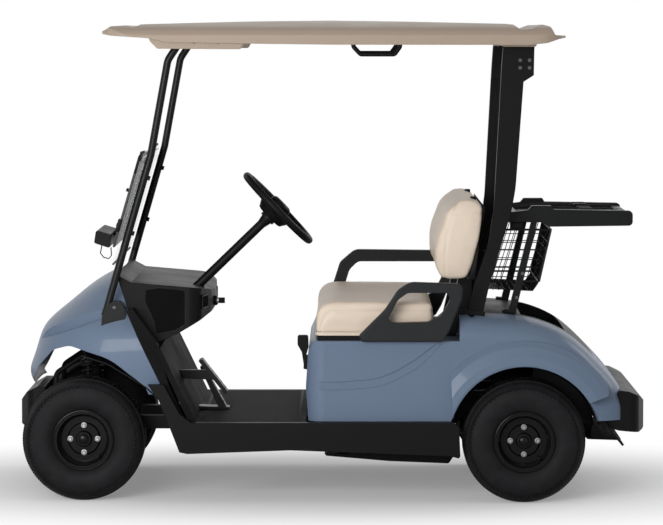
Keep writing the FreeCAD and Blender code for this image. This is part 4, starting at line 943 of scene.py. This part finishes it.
class CART_OT_floor_mat(bpy.types.Operator):
    """The ribbed rubber mat on the floor"""
    bl_idname = "cart.floor_mat"
    bl_label = "Floor mat"

    def execute(self, context):
        low, high = (Vector(corner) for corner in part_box("floor_pan"))
        top = high.z + 0.0003
        margin, ribs = 0.03, 56
        bm = bmesh.new()
        block(bm, (low.x + 0.02, low.y + 0.02, top), (high.x - 0.02, high.y - 0.02, top + 0.001), 0.0004)
        for number in range(ribs):
            y = low.y + margin + (high.y - low.y - 2 * margin) * number / (ribs - 1)
            block(bm, (low.x + margin, y - 0.004, top + 0.0008), (high.x - margin, y + 0.004, top + 0.0018),
                  0.0004, 1)
        finished("floor_mat", bm, "tyre_rubber")
        return {"FINISHED"}


# Studio

def lamp(name, place, aim, size, power):
    light = bpy.data.lights.new(name, "AREA")
    light.shape = "RECTANGLE"
    light.size, light.size_y = size
    light.energy = power
    item = bpy.data.objects.new(name, light)
    item.location = place
    item.rotation_euler = (Vector(aim) - Vector(place)).to_track_quat("-Z", "Y").to_euler()
    bpy.context.scene.collection.objects.link(item)
    return item


def studio_floor(tint):
    """A pale floor that fades into the white round it."""
    bm = bmesh.new()
    bmesh.ops.create_grid(bm, x_segments=1, y_segments=1, size=9.0)
    floor = placed("studio_floor", bm)
    material = principled("studio_floor", tint, 0.9, Specular_IOR_Level=0.0)
    tree = material.node_tree
    shader, output = tree.nodes["Principled BSDF"], tree.nodes["Material Output"]
    place = add(material, "ShaderNodeTexCoord")
    stretch = add(material, "ShaderNodeMapping", Scale=(0.36, 0.62, 1.0))
    distance = add(material, "ShaderNodeVectorMath", operation="LENGTH")
    fade = add(material, "ShaderNodeMapRange", interpolation_type="SMOOTHSTEP")
    fade.inputs["From Min"].default_value = 0.35
    fade.inputs["From Max"].default_value = 0.95
    fade.inputs["To Min"].default_value = 0.22
    white = add(material, "ShaderNodeEmission")
    camera_ray = add(material, "ShaderNodeLightPath")
    both = add(material, "ShaderNodeMath", operation="MULTIPLY")
    mix = add(material, "ShaderNodeMixShader")
    join(material, place, "Object", "Vector", stretch)
    join(material, stretch, "Vector", "Vector", distance)
    join(material, distance, "Value", "Value", fade)
    join(material, fade, "Result", 0, both)
    join(material, camera_ray, "Is Camera Ray", 1, both)
    join(material, both, "Value", "Fac", mix)
    join(material, shader, "BSDF", 1, mix)
    join(material, white, "Emission", 2, mix)
    join(material, mix, "Shader", "Surface", output)
    floor.data.materials.append(material)


def white_world(strength):
    """Even light at a plain level, and white where the camera, metal or glass looks past the cart."""
    scene = bpy.context.scene
    world = bpy.data.worlds.new("studio")
    scene.world = world
    world.use_nodes = True
    tree = world.node_tree
    tree.nodes.clear()
    path = tree.nodes.new("ShaderNodeLightPath")
    seen, mirrored = tree.nodes.new("ShaderNodeMath"), tree.nodes.new("ShaderNodeMath")
    seen.operation = mirrored.operation = "MAXIMUM"
    light, plain, mix = (tree.nodes.new(kind) for kind in (
        "ShaderNodeBackground", "ShaderNodeBackground", "ShaderNodeMixShader"))
    for background, level in ((light, strength), (plain, 1.0)):
        background.inputs["Color"].default_value = (1, 1, 1, 1)
        background.inputs["Strength"].default_value = level
    output = tree.nodes.new("ShaderNodeOutputWorld")
    tree.links.new(path.outputs["Is Camera Ray"], seen.inputs[0])
    tree.links.new(path.outputs["Is Transmission Ray"], seen.inputs[1])
    tree.links.new(seen.outputs[0], mirrored.inputs[0])
    tree.links.new(path.outputs["Is Glossy Ray"], mirrored.inputs[1])
    tree.links.new(mirrored.outputs[0], mix.inputs["Fac"])
    tree.links.new(light.outputs[0], mix.inputs[1])
    tree.links.new(plain.outputs[0], mix.inputs[2])
    tree.links.new(mix.outputs[0], output.inputs["Surface"])


def camera(sizes):
    view = bpy.data.cameras.new("camera")
    view.sensor_width = 36.0
    view.lens = sizes.camera_lens
    view.clip_end = 60.0
    item = bpy.data.objects.new("camera", view)
    item.location = (sizes.camera_x, -sizes.camera_distance, sizes.camera_height)
    item.rotation_euler = (math.pi / 2 - sizes.camera_pitch, 0, sizes.camera_yaw)
    bpy.context.scene.collection.objects.link(item)
    bpy.context.scene.camera = item


class CART_OT_studio(bpy.types.Operator):
    """Make the floor, the light and the camera"""
    bl_idname = "cart.studio"
    bl_label = "Studio"

    def execute(self, context):
        scene = context.scene
        scene.view_settings.view_transform = "Standard"
        camera(scene.cart_sizes)
        white_world(scene.cart_sizes.world_light)
        studio_floor(scene.cart_colours.floor)
        lamp("over", (-0.4, -0.6, 4.6), (0, 0, 0.6), (4.5, 3.0), 12)
        lamp("near", (-2.4, -6.0, 1.9), (0, 0, 0.8), (3.4, 2.2), 275)
        lamp("rear", (4.2, 1.5, 2.8), (0.6, 0, 0.8), (2.0, 2.5), 60)
        return {"FINISHED"}


PIECES = (CART_OT_studio, CART_OT_finish_nodes, CART_OT_tyres, CART_OT_wheel_fittings, CART_OT_seat,
          CART_OT_seat_trim, CART_OT_basket, CART_OT_straps, CART_OT_front_springs, CART_OT_arch_liners,
          CART_OT_dash_fittings, CART_OT_steering_hub, CART_OT_windshield_trim, CART_OT_bolts,
          CART_OT_floor_mat)


class CART_PT_looks(bpy.types.Panel):
    """The cart's pieces, each with its button"""
    bl_label = "Golf Cart"
    bl_idname = "CART_PT_looks"
    bl_space_type = "VIEW_3D"
    bl_region_type = "UI"
    bl_category = "Golf Cart"

    def draw(self, context):
        for group in (context.scene.cart_colours, context.scene.cart_sizes):
            for name in group.__annotations__:
                self.layout.prop(group, name)
        for piece in PIECES:
            self.layout.operator(piece.bl_idname)


CLASSES = (CartColours, CartSizes) + PIECES + (CART_PT_looks,)


def register():
    for item in CLASSES:
        bpy.utils.register_class(item)
    bpy.types.Scene.cart_colours = PointerProperty(type=CartColours)
    bpy.types.Scene.cart_sizes = PointerProperty(type=CartSizes)


def unregister():
    del bpy.types.Scene.cart_sizes
    del bpy.types.Scene.cart_colours
    for item in reversed(CLASSES):
        bpy.utils.unregister_class(item)


def main():
    register()
    for piece in PIECES:
        group, name = piece.bl_idname.split(".")
        getattr(getattr(bpy.ops, group), name)()


if __name__ == "__main__":
    main()
